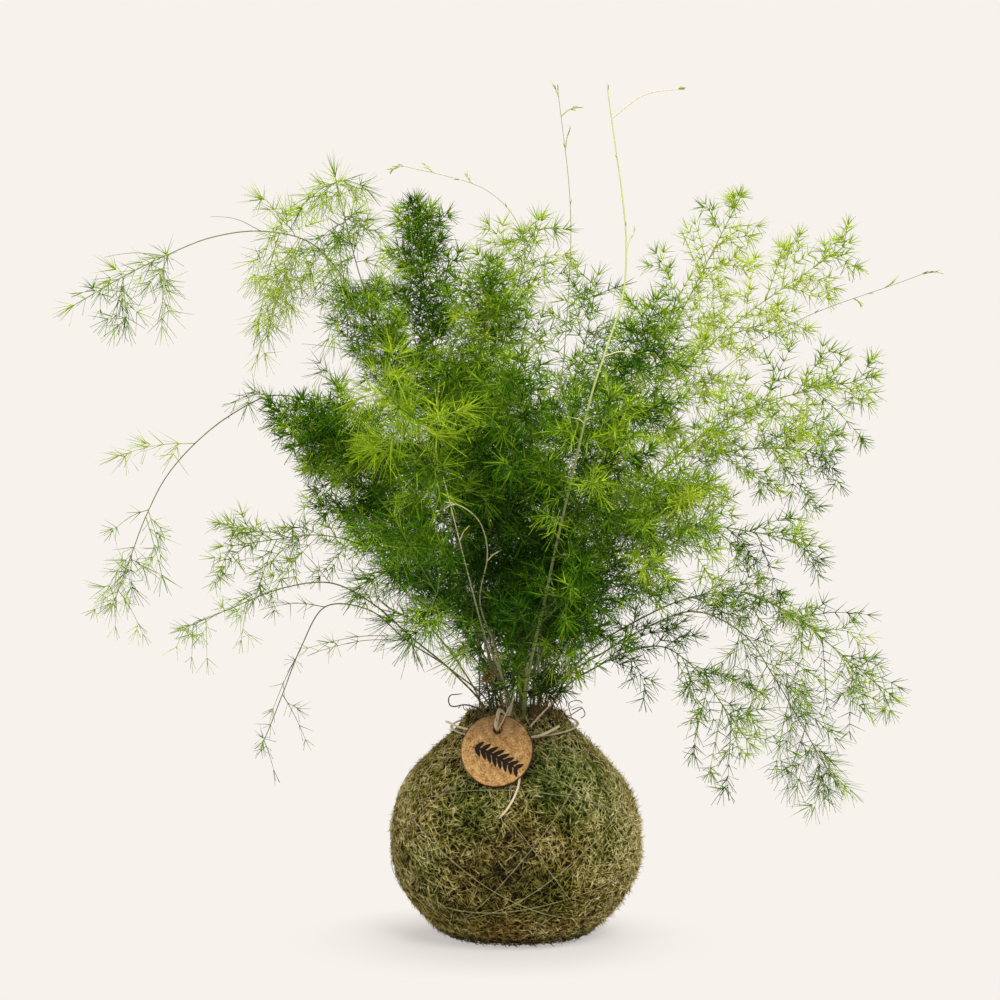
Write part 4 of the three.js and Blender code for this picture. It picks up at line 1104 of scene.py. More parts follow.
# How a frond grows, by its kind, in millimetres and degrees: the gaps between sprays along the stem, between
# twigs along a spray and between tufts along a twig, how long sprays, twigs and needles are, the length of a
# spray at the stem's first leaves and at its tip as shares of that, how many needles a tuft has, how far they
# lean, how much a spray points forward, how far it droops, the needles' width as a share of the usual, and
# below which value of a cloudy pattern a twig is left out
KINDS = {
    "brush": dict(spray_gap=3.7, twig_gap=3.4, tuft_gap=2.7, spray=31, twig=9.5, needle=8.5, low=0.9,
                  tip=0.25, count=5, lean=(42, 66), forward=0.8, droop=0.03, width=0.95, bare=-1),
    "full": dict(spray_gap=5.6, twig_gap=4.6, tuft_gap=3.9, spray=40, twig=14, needle=9.5, low=0.6, tip=0.25,
                 count=6, lean=(38, 76), forward=0.6, droop=0.12, width=0.92, bare=-0.4),
    "dense": dict(spray_gap=5.6, twig_gap=4.0, tuft_gap=3.7, spray=42, twig=14, needle=9.5, low=0.6, tip=0.25,
                  count=6, lean=(38, 76), forward=0.6, droop=0.12, width=1.0, bare=-1),
    "star": dict(spray_gap=8.5, twig_gap=8.5, tuft_gap=7.0, spray=30, twig=13, needle=16.5, low=0.6, tip=0.6,
                 count=9, lean=(15, 95), forward=0.5, droop=0.25, width=0.74, bare=-1),
    "airy": dict(spray_gap=0, twig_gap=7.8, tuft_gap=6.6, spray=34, twig=12, needle=12.5, low=1.0, tip=1.0,
                 count=5, lean=(18, 66), forward=0.3, droop=0.5, width=0.7, bare=-0.4),
    "wispy": dict(spray_gap=0, twig_gap=15, tuft_gap=12, spray=28, twig=9, needle=8.5, low=1.0, tip=1.0,
                  count=4, lean=(25, 80), forward=0.3, droop=0.4, width=0.65, bare=-0.3),
    "loose": dict(spray_gap=9.0, twig_gap=4.9, tuft_gap=4.6, spray=36, twig=13, needle=8.5, low=0.6, tip=0.5,
                  count=5, lean=(32, 72), forward=0.6, droop=0.25, width=0.82, bare=-0.02),
    "open": dict(spray_gap=7.5, twig_gap=4.8, tuft_gap=4.4, spray=38, twig=14, needle=9.5, low=0.7, tip=0.45,
                 count=5, lean=(35, 72), forward=0.6, droop=0.15, width=0.84, bare=-0.08),
    "fine": dict(spray_gap=7.2, twig_gap=4.3, tuft_gap=4.1, spray=37, twig=13, needle=8.0, low=0.55, tip=0.4,
                 count=5, lean=(36, 72), forward=0.65, droop=0.15, width=0.88, bare=-0.06),
}

# How large the clouds of that pattern are, in millimetres
CLUMP_SIZE = 15.0

# Where an airy stem carries sprays, as (share of its length, their length in millimetres, how many, their
# kind, how much yellower they are)
CLUSTERS = {
    "frond_arching_left": [
        (0.42, 24, 4, "brush", -0.25), (0.46, 26, 4, "brush", -0.3), (0.5, 26, 4, "brush", -0.3),
        (0.56, 24, 4, "brush", -0.25), (0.66, 34, 4, "airy", 0.1), (0.69, 42, 6, "airy", 0.15),
        (0.715, 36, 4, "airy", 0.1), (0.865, 22, 3, "airy", 0), (0.925, 20, 3, "airy", 0),
        (0.96, 12, 2, "wispy", 0)],
    "frond_long_arch_left": [
        (0.86, 20, 2, "wispy", 0), (0.93, 22, 2, "airy", 0), (0.98, 18, 3, "wispy", 0.1)],
    "frond_low_left": [(0.82, 18, 2, "wispy", 0), (0.94, 18, 2, "wispy", 0), (0.98, 16, 2, "wispy", 0)],
    "frond_hanging_left": [(0.99, 12, 2, "wispy", 0)],
    "frond_riser_left": [
        (0.6, 26, 4, "brush", -0.3), (0.66, 26, 4, "brush", -0.25), (0.71, 26, 5, "brush", -0.25),
        (0.76, 22, 4, "brush", -0.15), (0.81, 24, 3, "airy", 0),
        (0.86, 22, 4, "airy", 0.05), (0.93, 20, 4, "airy", 0.05), (0.985, 16, 6, "airy", 0.1)],
    "frond_hanging_right": [
        (0.6, 30, 2, "airy", 0), (0.7, 28, 3, "airy", 0), (0.8, 24, 3, "airy", 0), (0.9, 20, 3, "airy", 0),
        (0.97, 14, 3, "airy", 0)],
}

# Where the needles are yellower or deeper green than their stem, as (across, height, reach, change), of which
# the first three are millimetres; the deeper one at the bush's middle, at (-8, 209), is painted shade
TINTS = [(112, 344, 22, 0.65), (134, 331, 17, 0.65), (144, 275, 17, 0.55), (-63, 276, 24, 0.16),
         (-141, 318, 26, 0.2), (13, 368, 20, 0.35), (-128, 222, 15, 0.5), (-94, 388, 22, 0.2),
         (-89, 243, 12, 0.3), (75, 240, 14, 0.2), (108, 226, 14, 0.3), (104, 193, 16, 0.25),
         (174, 147, 20, 0.2), (122, 113, 12, 0.3), (-8, 209, 46, -0.25), (-20, 300, 16, 0.15),
         (-110, 268, 22, -0.15), (90, 315, 14, 0.1), (-62, 318, 14, 0.12), (82, 272, 40, 0.12)]

# The middle of the bush and how far the painted shade round it reaches, in millimetres, and how much it
# lowers the needles' lime value
BUSH_MIDDLE = (2.0, 0.0, 205.0)
BUSH_REACH = 84.0
BUSH_PAINTED_SHADE = 0.3

# Each frond's kind, how yellow its green is, from 0 to 1, and the share of its stem under its first leaves
FRONDS = {
    "arching_left": ("airy", 0.62, 0.4), "riser_left": ("airy", 0.52, 0.4),
    "long_arch_left": ("airy", 0.55, 0.4), "low_left": ("wispy", 0.55, 0.4),
    "hanging_left": ("wispy", 0.5, 0.4), "layered_left": ("brush", 0.38, 0.3),
    "side_left": ("loose", 0.65, 0.4), "spire": ("brush", 0.43, 0.4), "round_top": ("brush", 0.5, 0.4),
    "middle_top": ("open", 0.6, 0.4), "middle_back": ("open", 0.46, 0.4), "middle_right": ("full", 0.4, 0.3),
    "lime_right": ("fine", 0.8, 0.4), "high_right": ("fine", 0.68, 0.4), "outer_right": ("fine", 0.62, 0.4),
    "back_right": ("fine", 0.46, 0.4), "front_right": ("loose", 0.42, 0.4),
    "low_arch_right": ("loose", 0.42, 0.4), "hanging_right": ("airy", 0.42, 0.4),
    "low_right": ("loose", 0.36, 0.4), "lime_front": ("star", 0.62, 0.4),
    "front_middle": ("full", 0.32, 0.26), "front_high": ("full", 0.44, 0.4),
    "front_side": ("full", 0.48, 0.3), "front_left": ("star", 0.42, 0.4), "front_low": ("full", 0.32, 0.1),
    "back_left": ("dense", 0.34, 0.3), "back_middle": ("dense", 0.4, 0.12), "back_side": ("fine", 0.45, 0.3),
    "back_low": ("dense", 0.36, 0.06),
}

# The stem whose upward branches stay bare
BARE_ABOVE = "frond_arching_left"

# In millimetres: under this height the branches of a starry stem are wispy, a stem's foot stands at most this
# far from the middle, and a limb thinner than this is a twig, drawn with fewer sides
STARS_ABOVE = 168
FOOT_REACH = 26
TWIG_RADIUS = 0.45

# Where along the leafy part of a stem its sprays are longest, as a share, and how they crowd towards its tip,
# where 1 is evenly spread
FULLEST_AT = 0.62
CROWDING = 0.75

# In millimetres: the radius of the frame's branches and of the sprays between them at their foot, and the
# length under which a spray has shorter twigs
BRANCH_RADIUS = 0.3
SPRAY_RADIUS = 0.28
SHORT_SPRAY = 30

# The share of a spray under its first twig, and how far its twigs lie out of its plane, where 1 is all round
TWIGS_FROM = 0.16
TWIGS_ROUND = 0.75

# What the needles stay clear of, in millimetres: the neck up to this height and this far out, and the shoots
NECK_CLEAR_HEIGHT = 120
NECK_CLEAR_REACH = 36
SHOOT_CLEARANCE = 2.6


def corners_of(node):
    """The places of a CAD node's corners, in millimetres, and which corners its edges join."""
    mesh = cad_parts[node].data
    places = np.empty(len(mesh.vertices) * 3)
    mesh.vertices.foreach_get("co", places)
    places = places.reshape(-1, 3) / MM
    _, first, index = np.unique(np.round(places, 2), axis=0, return_index=True, return_inverse=True)
    index = index.ravel()
    joined = [set() for _ in first]
    for edge in mesh.edges:
        a, b = (int(index[v]) for v in edge.vertices)
        if a != b:
            joined[a].add(b)
            joined[b].add(a)
    return places[first], joined


def follow_rings(ring, places, joined, seen):
    """Walks up a three-sided limb from ring to ring. Returns the rings' middles and radii, to the tip."""
    middles, radii = [], []
    while len(ring) == 3:
        seen.update(ring)
        last = ring
        middle = places[ring].mean(0)
        middles.append(middle)
        radii.append(np.linalg.norm(places[ring] - middle, axis=1).mean())
        votes = Counter(v for corner in ring for v in joined[corner] if v not in seen)
        found = [v for v, n in votes.items() if n == 2 and len(joined[v]) > 3]
        ring = [v for v in found if sum(other in joined[v] for other in found) >= 2]
    tip = [v for v in set.intersection(*(joined[corner] for corner in last)) if len(joined[v]) == 3]
    if not tip:
        raise RuntimeError("a limb of the frame has no tip")
    middles.append(places[tip[0]])
    radii.append(0.3 * radii[-1])
    return middles, radii


def read_limbs(node, step=2.5):
    """The stem and the side branches of a CAD node, as smooth lines with their radii."""
    places, joined = corners_of(node)
    near_axis = np.hypot(places[:, 0], places[:, 1]) < FOOT_REACH
    foot = np.flatnonzero((abs(places[:, 2] - places[near_axis, 2].min()) < 0.4) & near_axis).tolist()
    seen = set()
    stem = Line(*follow_rings(foot, places, joined, seen), step=step, closest=min(step, 3.0))
    on_stem = set(seen)
    starts = {v for s in on_stem for v in joined[s] if v not in seen and len(joined[v]) > 3}
    branches = []
    while starts:
        first = starts.pop()
        ring = [first] + [v for v in joined[first] if v in starts]
        starts.difference_update(ring)
        base = list({v for corner in ring for v in joined[corner] if v in on_stem})
        middles, radii = follow_rings(ring, places, joined, seen)
        branches.append(Line([places[base].mean(0)] + middles, [radii[0]] + radii))
    branches.sort(key=lambda line: line.points[0][2])
    return stem, branches


class Growth:
    """Collects the limbs and needles of one plant piece, in millimetres."""

    def __init__(self):
        self.limbs, self.edges, self.count = [], [], 0
        self.needles = [(np.zeros((0, 3)), np.zeros((0, 3)), np.zeros(0), np.zeros(0))]

    def add_limb(self, points, radii, woody, lime):
        n = len(points)
        self.limbs.append((points, *(np.broadcast_to(values, n) for values in (radii, woody, lime))))
        self.edges.extend((self.count + i, self.count + i + 1) for i in range(n - 1))
        self.count += n

    def add_needles(self, roots, headings, lengths, lime):
        self.needles.append((roots, headings, lengths, np.broadcast_to(lime, len(lengths))))

    def piece(self, name, seed):
        """A mesh with the limbs as edges and the needles as loose points, ready for the growing tree."""
        places, radii, woody, lime = map(np.concatenate, zip(*self.limbs))
        roots, headings, lengths, needle_lime = map(np.concatenate, zip(*self.needles))
        n, m = len(places), len(roots)
        mesh = bpy.data.meshes.new(name)
        mesh.from_pydata((np.concatenate([places, roots]) * MM).tolist(), self.edges, [])
        upright = np.tile((0.0, 0.0, 1.0), (n, 1))
        store_values(mesh, "is_needle", np.arange(n + m) >= n, "BOOLEAN")
        store_values(mesh, "limb_radius", np.concatenate([radii, np.zeros(m)]) * MM)
        store_values(mesh, "woody", np.concatenate([woody, np.zeros(m)]))
        store_values(mesh, "lime", np.concatenate([lime, needle_lime]))
        store_values(mesh, "needle_length", np.concatenate([np.zeros(n), lengths]) * MM)
        store_values(mesh, "heading", np.concatenate([upright, headings]), "FLOAT_VECTOR")
        store_values(mesh, "shade", np.random.default_rng(seed).random(n + m))
        return new_piece(name, mesh)


def tinted(places, lime):
    """The lime value of needles, changed where they stand in one of the tinted places."""
    # Painted shade: needles are darker the nearer they stand to the bush's middle
    inside = ((places - BUSH_MIDDLE) ** 2).sum(1) / BUSH_REACH**2
    lime = lime - BUSH_PAINTED_SHADE * np.exp(-inside)
    for across, height, reach, change in TINTS:
        far = ((places[:, 0] - across) ** 2 + (places[:, 2] - height) ** 2) / reach**2
        lime += change * np.exp(-far)
    return lime


def spread_tufts(growth, places, axes, kind, lime, sizes, draw, count=None, lean=None):
    """A tuft of needles at each place, fanned evenly round its axis."""
    count = count or kind["count"]
    low, high = np.radians(lean or kind["lean"])
    n = len(places)
    roots = np.repeat(places, count, axis=0)
    axes = np.repeat(axes, count, axis=0)
    across, over = sideways(axes)
    around = np.tile(np.arange(count) * 2 * math.pi / count, n) + np.repeat(draw.random(n) * 6.3, count)
    around = (around + draw.normal(0, 0.3, n * count))[:, None]
    lean = draw.uniform(low, high, n * count)[:, None]
    headings = axes * np.cos(lean) + (across * np.cos(around) + over * np.sin(around)) * np.sin(lean)
    sizes = np.repeat(np.broadcast_to(sizes, n), count)
    lengths = kind["needle"] * draw.uniform(0.78, 1.12, n * count) * sizes
    limes = np.repeat(np.broadcast_to(lime, n), count) + draw.normal(0, 0.06, n * count)
    growth.add_needles(roots, unit(headings), lengths, tinted(roots, limes))


def grow_spray(growth, line, radius, kind, lime, draw):
    """A side branch with its twigs, and tufts of needles on both."""
    woody = 0.15 * (1 - line.lengths / line.total)
    growth.add_limb(line.points, radius * (1 - 0.6 * line.lengths / line.total), woody, lime)
    starts = np.arange(TWIGS_FROM * line.total + draw.random() * 2, line.total - 1, kind["twig_gap"])
    places, axes = line.at(starts)
    headings = unit(axes * 0.62 + unit(spiral_out(axes, draw.random() * 6, TWIGS_ROUND)) * 0.8)
    share = starts / line.total
    luck = draw.uniform(0.6, 1.15, len(starts))
    reaches = kind["twig"] * (1 - 0.6 * share) * luck * min(1, line.total / SHORT_SPRAY)
    sag = np.array((0, 0, -0.35 * kind["droop"]))
    for start, heading, reach in zip(places, headings, reaches):
        if noise.noise(Vector(start) / CLUMP_SIZE) < kind["bare"]:
            continue
        t = np.array((0, 0.5, 1))[:, None]
        points = drooping(start, heading, sag, reach, t)
        growth.add_limb(points, 0.2 - 0.08 * t[:, 0], 0.0, lime + 0.1)
        first = 1.0 + draw.random() * kind["tuft_gap"] * 0.5
        t = np.arange(first, reach * 0.95, kind["tuft_gap"])[:, None] / reach
        spots, bent = drooping(start, heading, sag, reach, t), unit(heading + 2 * sag * t)
        spread_tufts(growth, spots, bent, kind, lime + 0.12 * t[:, 0], 1 - 0.2 * t[:, 0], draw)
        end, more = unit(points[-1:] - points[-2:-1]), kind["count"] + 2
        spread_tufts(growth, points[-1:], end, kind, lime + 0.15, 1.05, draw, count=more, lean=(8, 75))
    own = np.arange(0.2 * line.total, line.total, kind["tuft_gap"] * 1.3)
    spots, axes = line.at(own)
    spread_tufts(growth, spots, axes, kind, lime, 1.0, draw, count=max(3, kind["count"] - 1))
    spots, axes = line.at([line.total])
    spread_tufts(growth, spots, axes, kind, lime + 0.15, 0.95, draw, lean=(4, 50))


def extra_sprays(name, stem, kind, leafy_from, draw):
    """Side branches between those of the frame: each one's line, kind and change of green.

    They stand closest together near the tip, or in clusters on an airy stem.
    """
    clusters = CLUSTERS.get(name)
    if clusters:
        starts = np.concatenate([np.full(count, share * stem.total) for share, _, count, _, _ in clusters])
        reaches = np.concatenate([np.full(count, float(reach)) for _, reach, count, _, _ in clusters])
        habits = [(KINDS[own], change) for _, _, count, own, change in clusters for _ in range(count)]
    else:
        count = int((1 - leafy_from) * stem.total / kind["spray_gap"])
        share = (np.arange(count) / count) ** CROWDING
        starts = (leafy_from + (1 - leafy_from) * share) * stem.total
        past = np.maximum(share - FULLEST_AT, 0) / (1 - FULLEST_AT)
        reaches = kind["spray"] * np.where(
            share < FULLEST_AT, kind["low"] + (1 - kind["low"]) * share / FULLEST_AT,
            1 - (1 - kind["tip"]) * past**1.6)
        habits = [(kind, 0.0)] * count
    places, axes = stem.at(starts + draw.normal(0, 1.2, len(starts)))
    out = spiral_out(axes, draw.random() * 6)
    down = np.array((0, 0, -1.0))
    sprays = []
    for i, (habit, change) in enumerate(habits):
        reach = reaches[i] * draw.uniform(0.7, 1.15)
        heading = unit(out[i] * 0.8 + axes[i] * habit["forward"] + down * (habit["droop"] * 0.8 - 0.1))
        points = drooping(places[i], heading, down * habit["droop"], reach, np.linspace(0, 1, 6)[:, None])
        sprays.append((Line(points, step=5, closest=0.5), habit, change))
    return sprays


def shoot_lines():
    """The bare shoots that stand in front of the needles."""
    return [read_limbs(name)[0] for name in ("bare_shoot_tall", "pale_stem_straight", "pale_stem_curly")]


def keep_clear(growth, shoots=(), neck=True):
    """Drops needles that would lie in the moss, crowd the neck or hide the bare shoots in front."""
    far = 999
    for i, (roots, headings, lengths, _) in enumerate(growth.needles):
        clear = np.ones(len(roots), bool)
        for ends in (roots, roots + headings * lengths[:, None]):
            x, y, z = ends.T
            reach = np.hypot(x, y)
            skin = np.array([moss_radius(height) for height in np.clip(z, 0, NECK_HEIGHT)]) + 1
            clear &= ((z > NECK_HEIGHT - 2) | (reach > skin)) & (z > 1.0)
            if neck:
                clear &= (z > NECK_CLEAR_HEIGHT) | (reach > NECK_CLEAR_REACH)
            for line in shoots:
                line_x, line_y, line_z = line.points.T
                beside = abs(x - np.interp(z, line_z, line_x, left=far, right=far)) > SHOOT_CLEARANCE
                clear &= beside | (y > np.interp(z, line_z, line_y) - 1)
        growth.needles[i] = tuple(values[clear] for values in growth.needles[i])


def grow_frond(name, kind_name, lime, leafy_from, settings, shoots):
    """One leafy stem: its own stem and branches from the frame, with finer sprays between them."""
    kind = KINDS[kind_name]
    airy = name in CLUSTERS
    seed = settings.seed * 1000 + sum(map(ord, name))
    draw = np.random.default_rng(seed)
    stem, branches = read_limbs(name)
    growth = Growth()
    share = stem.lengths / stem.total
    woody = draw.uniform(0.4, 1.0) - 1.6 * share
    sparse = kind
    if airy:
        woody = 1.0 - 0.55 * share
        sparse = dict(kind, twig_gap=kind["twig_gap"] * 1.8, twig=kind["twig"] * 0.75)
    growth.add_limb(
        stem.points, stem.radii * (0.74 - 0.2 * share), np.clip(woody, 0, 1), 0.25 + 0.5 * lime * share)
    for line in branches:
        foot, end = line.points[0][2], line.points[-1][2]
        if name == BARE_ABOVE and end > foot:
            growth.add_limb(line.points, 0.25 * (1 - 0.6 * line.lengths / line.total), 0.5, lime)
        else:
            habit = KINDS["wispy"] if kind_name == "star" and foot < STARS_ABOVE else sparse
            grow_spray(growth, line, BRANCH_RADIUS, habit, lime + draw.normal(0, 0.12), draw)
    for line, habit, change in extra_sprays(name, stem, kind, leafy_from, draw):
        grow_spray(growth, line, SPRAY_RADIUS, habit, lime + change + draw.normal(0, 0.16), draw)
    own = np.arange((leafy_from + 0.05) * stem.total, stem.total, kind["tuft_gap"] * 1.5)
    if airy:
        own = own[own > 0.9 * stem.total]
    spots, axes = stem.at(own)
    spread_tufts(growth, spots, axes, kind, lime, 1.0, draw)
    spots, axes = stem.at([stem.total])
    spread_tufts(growth, spots, axes, kind, lime + 0.2, 1.0, draw, count=10, lean=(4, 55))
    keep_clear(growth, shoots)
    return growth.piece(name + "_needles", seed)


def growing_tree(needle_material, stem_material):
    """Turns edges into tapered round limbs and loose points into needles."""
    tree, entry = geometry_tree(
        "Asparagus growth", shape="Object", needle_width="Float", sides="Int", twig_sides="Int")
    is_needle, heading, long, radius = (
        add_node(tree, "GeometryNodeInputNamedAttribute", (name,), data_type=kind) for name, kind in (
            ("is_needle", "BOOLEAN"), ("heading", "FLOAT_VECTOR"), ("needle_length", "FLOAT"),
            ("limb_radius", "FLOAT")))
    parts = add_node(tree, "GeometryNodeSeparateGeometry", (entry.outputs[0], is_needle), domain="POINT")
    turn = add_node(tree, "FunctionNodeAlignRotationToVector", {"Vector": heading}, axis="Z")
    wide = entry.outputs["Needle width"]
    size = add_node(tree, "ShaderNodeCombineXYZ", (wide, wide, long))
    needle = add_node(tree, "GeometryNodeObjectInfo", (entry.outputs["Shape"],)).outputs["Geometry"]
    made = [add_node(
        tree, "GeometryNodeInstanceOnPoints",
        {"Points": parts.outputs[0], "Instance": needle, "Rotation": turn, "Scale": size})]
    thin = add_node(tree, "FunctionNodeCompare", (radius, TWIG_RADIUS * MM), operation="LESS_THAN")
    limbs = add_node(tree, "GeometryNodeMeshToCurve", (parts.outputs[1],))
    split = add_node(tree, "GeometryNodeSeparateGeometry", (limbs, thin), domain="CURVE")
    for branch, sides in ((split.outputs[0], "Twig sides"), (split.outputs[1], "Sides")):
        ring = add_node(tree, "GeometryNodeCurvePrimitiveCircle", (entry.outputs[sides], 1.0))
        limb = add_node(tree, "GeometryNodeCurveToMesh", (branch, ring, radius, True))
        made.append(add_node(tree, "GeometryNodeSetShadeSmooth", (limb,)))
    joined = add_node(tree, "GeometryNodeJoinGeometry")
    for part in made:
        tree.links.new(part.outputs[0], joined.inputs[0])
    real = add_node(tree, "GeometryNodeRealizeInstances", (joined,))
    barked = add_node(tree, "GeometryNodeSetMaterial", (real, None, stem_material))
    painted = add_node(tree, "GeometryNodeSetMaterial", (barked, is_needle, needle_material))
    add_node(tree, "NodeGroupOutput", (painted,))
    return tree


def paint_needles(settings):
    """Asparagus cladodes, leaf-like twigs: thin with a dull bloom, deep green when old, lime when young."""
    material, tree, shader = new_surface("asparagus_cladode", 0.65, Specular_IOR_Level=0.03)
    lime, shade, along = [
        add_node(tree, "ShaderNodeAttribute", attribute_name=name).outputs["Fac"]
        for name in ("lime", "shade", "along")]
    patch = add_node(tree, "ShaderNodeMath", (grain(tree, 24, 2), 0.8, -0.55), operation="MULTIPLY_ADD")
    tone = add_node(tree, "ShaderNodeMath", (lime, patch), operation="ADD")
    for pattern, share in ((shade, 0.55), (along, -0.2)):
        tone = add_node(tree, "ShaderNodeMath", (pattern, share, tone), operation="MULTIPLY_ADD")
    tone = add_node(tree, "ShaderNodeMath", (tone, -0.03), operation="ADD", use_clamp=True)
    stops = [(0.0, settings.deep), (0.4, settings.mature), (0.9, settings.young), (1.0, 0xB9CE34)]
    finish_surface(tree, shader, add_node(tree, "ShaderNodeValToRGB", (tone,), stops))
    return material


def paint_stems():
    """Wiry asparagus stems: smooth green skin with fine length ribs, brown and dull where it turns woody."""
    material, tree, shader = new_surface("asparagus_stem", 0.55, Specular_IOR_Level=0.3)
    woody, lime = [
        add_node(tree, "ShaderNodeAttribute", attribute_name=name).outputs["Fac"]
        for name in ("woody", "lime")]
    ribs = grain(tree, 1.2, 3, (1, 1, 0.12))
    stops = [(0.0, 0x3F5A1C), (0.45, 0x7E983C), (0.85, 0xC4D470), (1.0, 0xEEE8B4)]
    green = add_node(tree, "ShaderNodeValToRGB", (lime,), stops)
    brown = add_node(tree, "ShaderNodeValToRGB", (ribs,), [(0.3, 0x544A2A), (0.7, 0xA2955C)])
    colour = add_node(tree, "ShaderNodeMix", (woody, green, brown), data_type="RGBA")
    finish_surface(tree, shader, colour, ribs, 0.15)
    return material


def slot_for(lime):
    """The record's green that is nearest to a frond's own."""
    return "dark_green" if lime < 0.25 else "mid_green" if lime < 0.6 else "lime_green"


class KOKEDAMA_OT_fronds(bpy.types.Operator):
    """Grow the leafy stems along the limbs of the frame"""

    bl_idname = "kokedama.fronds"
    bl_label = "Leafy stems"

    def execute(self, context):
        settings = context.scene.kokedama_foliage
        needle = fibre_shape("needle")
        shoots = shoot_lines()
        tree = growing_tree(paint_needles(settings), paint_stems())
        for name, (kind, lime, leafy_from) in FRONDS.items():
            frond = grow_frond("frond_" + name, kind, lime, leafy_from, settings, shoots)
            width = settings.needle_width * KINDS[kind]["width"]
            bake_nodes(frond, tree, shape=needle, needle_width=width, sides=6, twig_sides=3)
            seat(frond, slot_for(lime), "frond_" + name)
        drop_shapes(needle)
        return {"FINISHED"}


# Young shoots and dead stems


# For each shoot: how woody and how lime it is, its thickness as a share of the frame's, and its twigs as
# (share of its length, end from there in millimetres, number of buds). A wholly woody one is dead.
SHOOTS = {
    "bare_shoot_tall": (-0.1, 0.88, 1.15, [
        (0.955, (34, 2, 14), 4), (0.653, (15, -3, 1.5), 0), (0.566, (6.5, -3, 2.5), 0),
        (0.562, (-6, -3, 3), 0), (0.79, (4, 0, 9), 1)]),
    "bare_shoot_thin": (0.3, 0.6, 0.6, [(0.95, (9, 0, 5), 3), (0.90, (3, 0, 12), 2), (0.98, (-3, 0, 6), 1)]),
    "budding_twig": (0.2, 0.8, 0.6, [
        (0.99, (-6, 0, -2), 7), (0.94, (-5, 1, 4), 6), (0.88, (-4, 0, 5), 3), (0.76, (5, 0, 9), 4),
        (0.7, (-4, 0, 9), 3)]),
    "trailing_twig": (0.5, 0.4, 0.5, [(0.99, (8, 0, 1), 2), (0.93, (5, 0, 4), 2), (0.88, (4, 0, -4), 2)]),
    "pale_stem_straight": (0.1, 1.0, 1.0, [(0.8, (5, -3, 8), 1)]),
    "pale_stem_curly": (0.15, 1.0, 1.0, [(0.97, (-6, 0, -3), 1), (0.75, (6, 0, 5), 1)]),
    "dead_stem_left": (1.0, 0.35, 0.75, [(0.9, (-4, -1, 5), 0)]),
    "dead_stem_middle": (1.0, 0.6, 0.75, [(0.85, (3, -2, 5), 0)]),
    "dead_stem_curled": (1.0, 0.2, 1.0, []),
    "dead_spray": (1.0, 0.85, 0.7, [(0.8, (5, -2, 9), 0), (0.9, (2, -4, 12), 0), (0.7, (9, -3, 5), 0)]),
}

# How many small scale leaves a living shoot has
SCALE_LEAVES = 9

# The seeds of the shoots' draws, counted up from the first, and of the withered bits'
SHOOT_SEED = 500
WITHERED_SEED = 41
WITHERED_SHADE_SEED = 77


def add_buds(growth, place, heading, count, draw):
    """A few closed buds: short thick needles that point forward."""
    turn = draw.uniform(-1, 1, (count, 3)) * 0.55
    headings = unit(heading + turn)
    roots = place - heading * draw.uniform(0, 5, count)[:, None]
    growth.add_needles(roots, headings, draw.uniform(2.0, 4.2, count), 0.95)


def grow_shoot(name, woody, lime, thickness, twigs, seed):
    """A shoot's stem from the frame, with side twigs, small scale leaves and buds."""
    draw = np.random.default_rng(seed)
    stem, _ = read_limbs(name, step=1.0)
    growth = Growth()
    share = stem.lengths / stem.total
    alive = woody < 1
    stem_woody = np.clip(woody + 0.2 * (0.5 - share), 0, 1) if alive else 1.0
    growth.add_limb(stem.points, stem.radii * thickness * (1 - 0.5 * share), stem_woody, lime)
    for at, end, buds in twigs:
        (start,), (along,) = stem.at([at * stem.total])
        end = start + np.array(end, float)
        middle = (start + end) / 2 + along * 0.12 * np.linalg.norm(end - start)
        twig = Line([start, middle, end], step=1.5, closest=0.4)
        twig_radii = 0.36 * (1 - 0.5 * twig.lengths / twig.total)
        twig_woody, twig_lime = (0.0, lime + 0.15) if alive else (1.0, lime)
        growth.add_limb(twig.points, twig_radii, twig_woody, twig_lime)
        if buds:
            add_buds(growth, end, unit(end - middle), buds + 2, draw)
    if alive:
        spots, axes = stem.at(np.linspace(0.3, 0.99, SCALE_LEAVES) * stem.total)
        headings = unit(axes + 0.35 * spiral_out(axes))
        growth.add_needles(spots, headings, 2.6 + draw.random(SCALE_LEAVES), 0.55)
    return growth.piece(name + "_grown", seed)


def paint_dead():
    """Dried stems, peat fibres and straw: brittle and dull, from dark to pale and red brown by lime value."""
    material, tree, shader = new_surface("dried_asparagus_stem", 0.85, Specular_IOR_Level=0.2)
    kind = add_node(tree, "ShaderNodeAttribute", attribute_name="lime").outputs["Fac"]
    blotch = add_node(tree, "ShaderNodeMath", (grain(tree, 6, 4), 0.4, -0.2), operation="MULTIPLY_ADD")
    tone = add_node(tree, "ShaderNodeMath", (kind, blotch), operation="ADD", use_clamp=True)
    stops = [(0.0, 0x241A10), (0.3, 0x5A4228), (0.55, 0xA88E5C), (0.8, 0xAE6A44), (1.0, 0x96492E)]
    colour = add_node(tree, "ShaderNodeValToRGB", (tone,), stops)
    finish_surface(tree, shader, colour, grain(tree, 1.0, 3, (1, 1, 0.15)), 0.2)
    return material


# Withered bits at the neck: their middle and spread in millimetres, how many, and their tone, from peat to
# red brown
WITHERED = [((27, -27, 146), (3, 3, 6), 80, 0.95), ((15, -21, 131), (4, 4, 7), 55, 0.85),
            ((-13, -27, 137), (3, 3, 4), 24, 0.75), ((22, -16, 117), (6, 6, 3), 80, 0.45),
            ((-16, -14, 116), (5, 6, 2.5), 60, 0.35), ((2, -20, 115), (9, 5, 2.5), 100, 0.4),
            ((0, 18, 116), (13, 6, 3), 120, 0.35)]

# Under this height they lie on the neck, and so no further from the middle than this, in millimetres
LITTER_TOP = 124
LITTER_REACH = 21.0


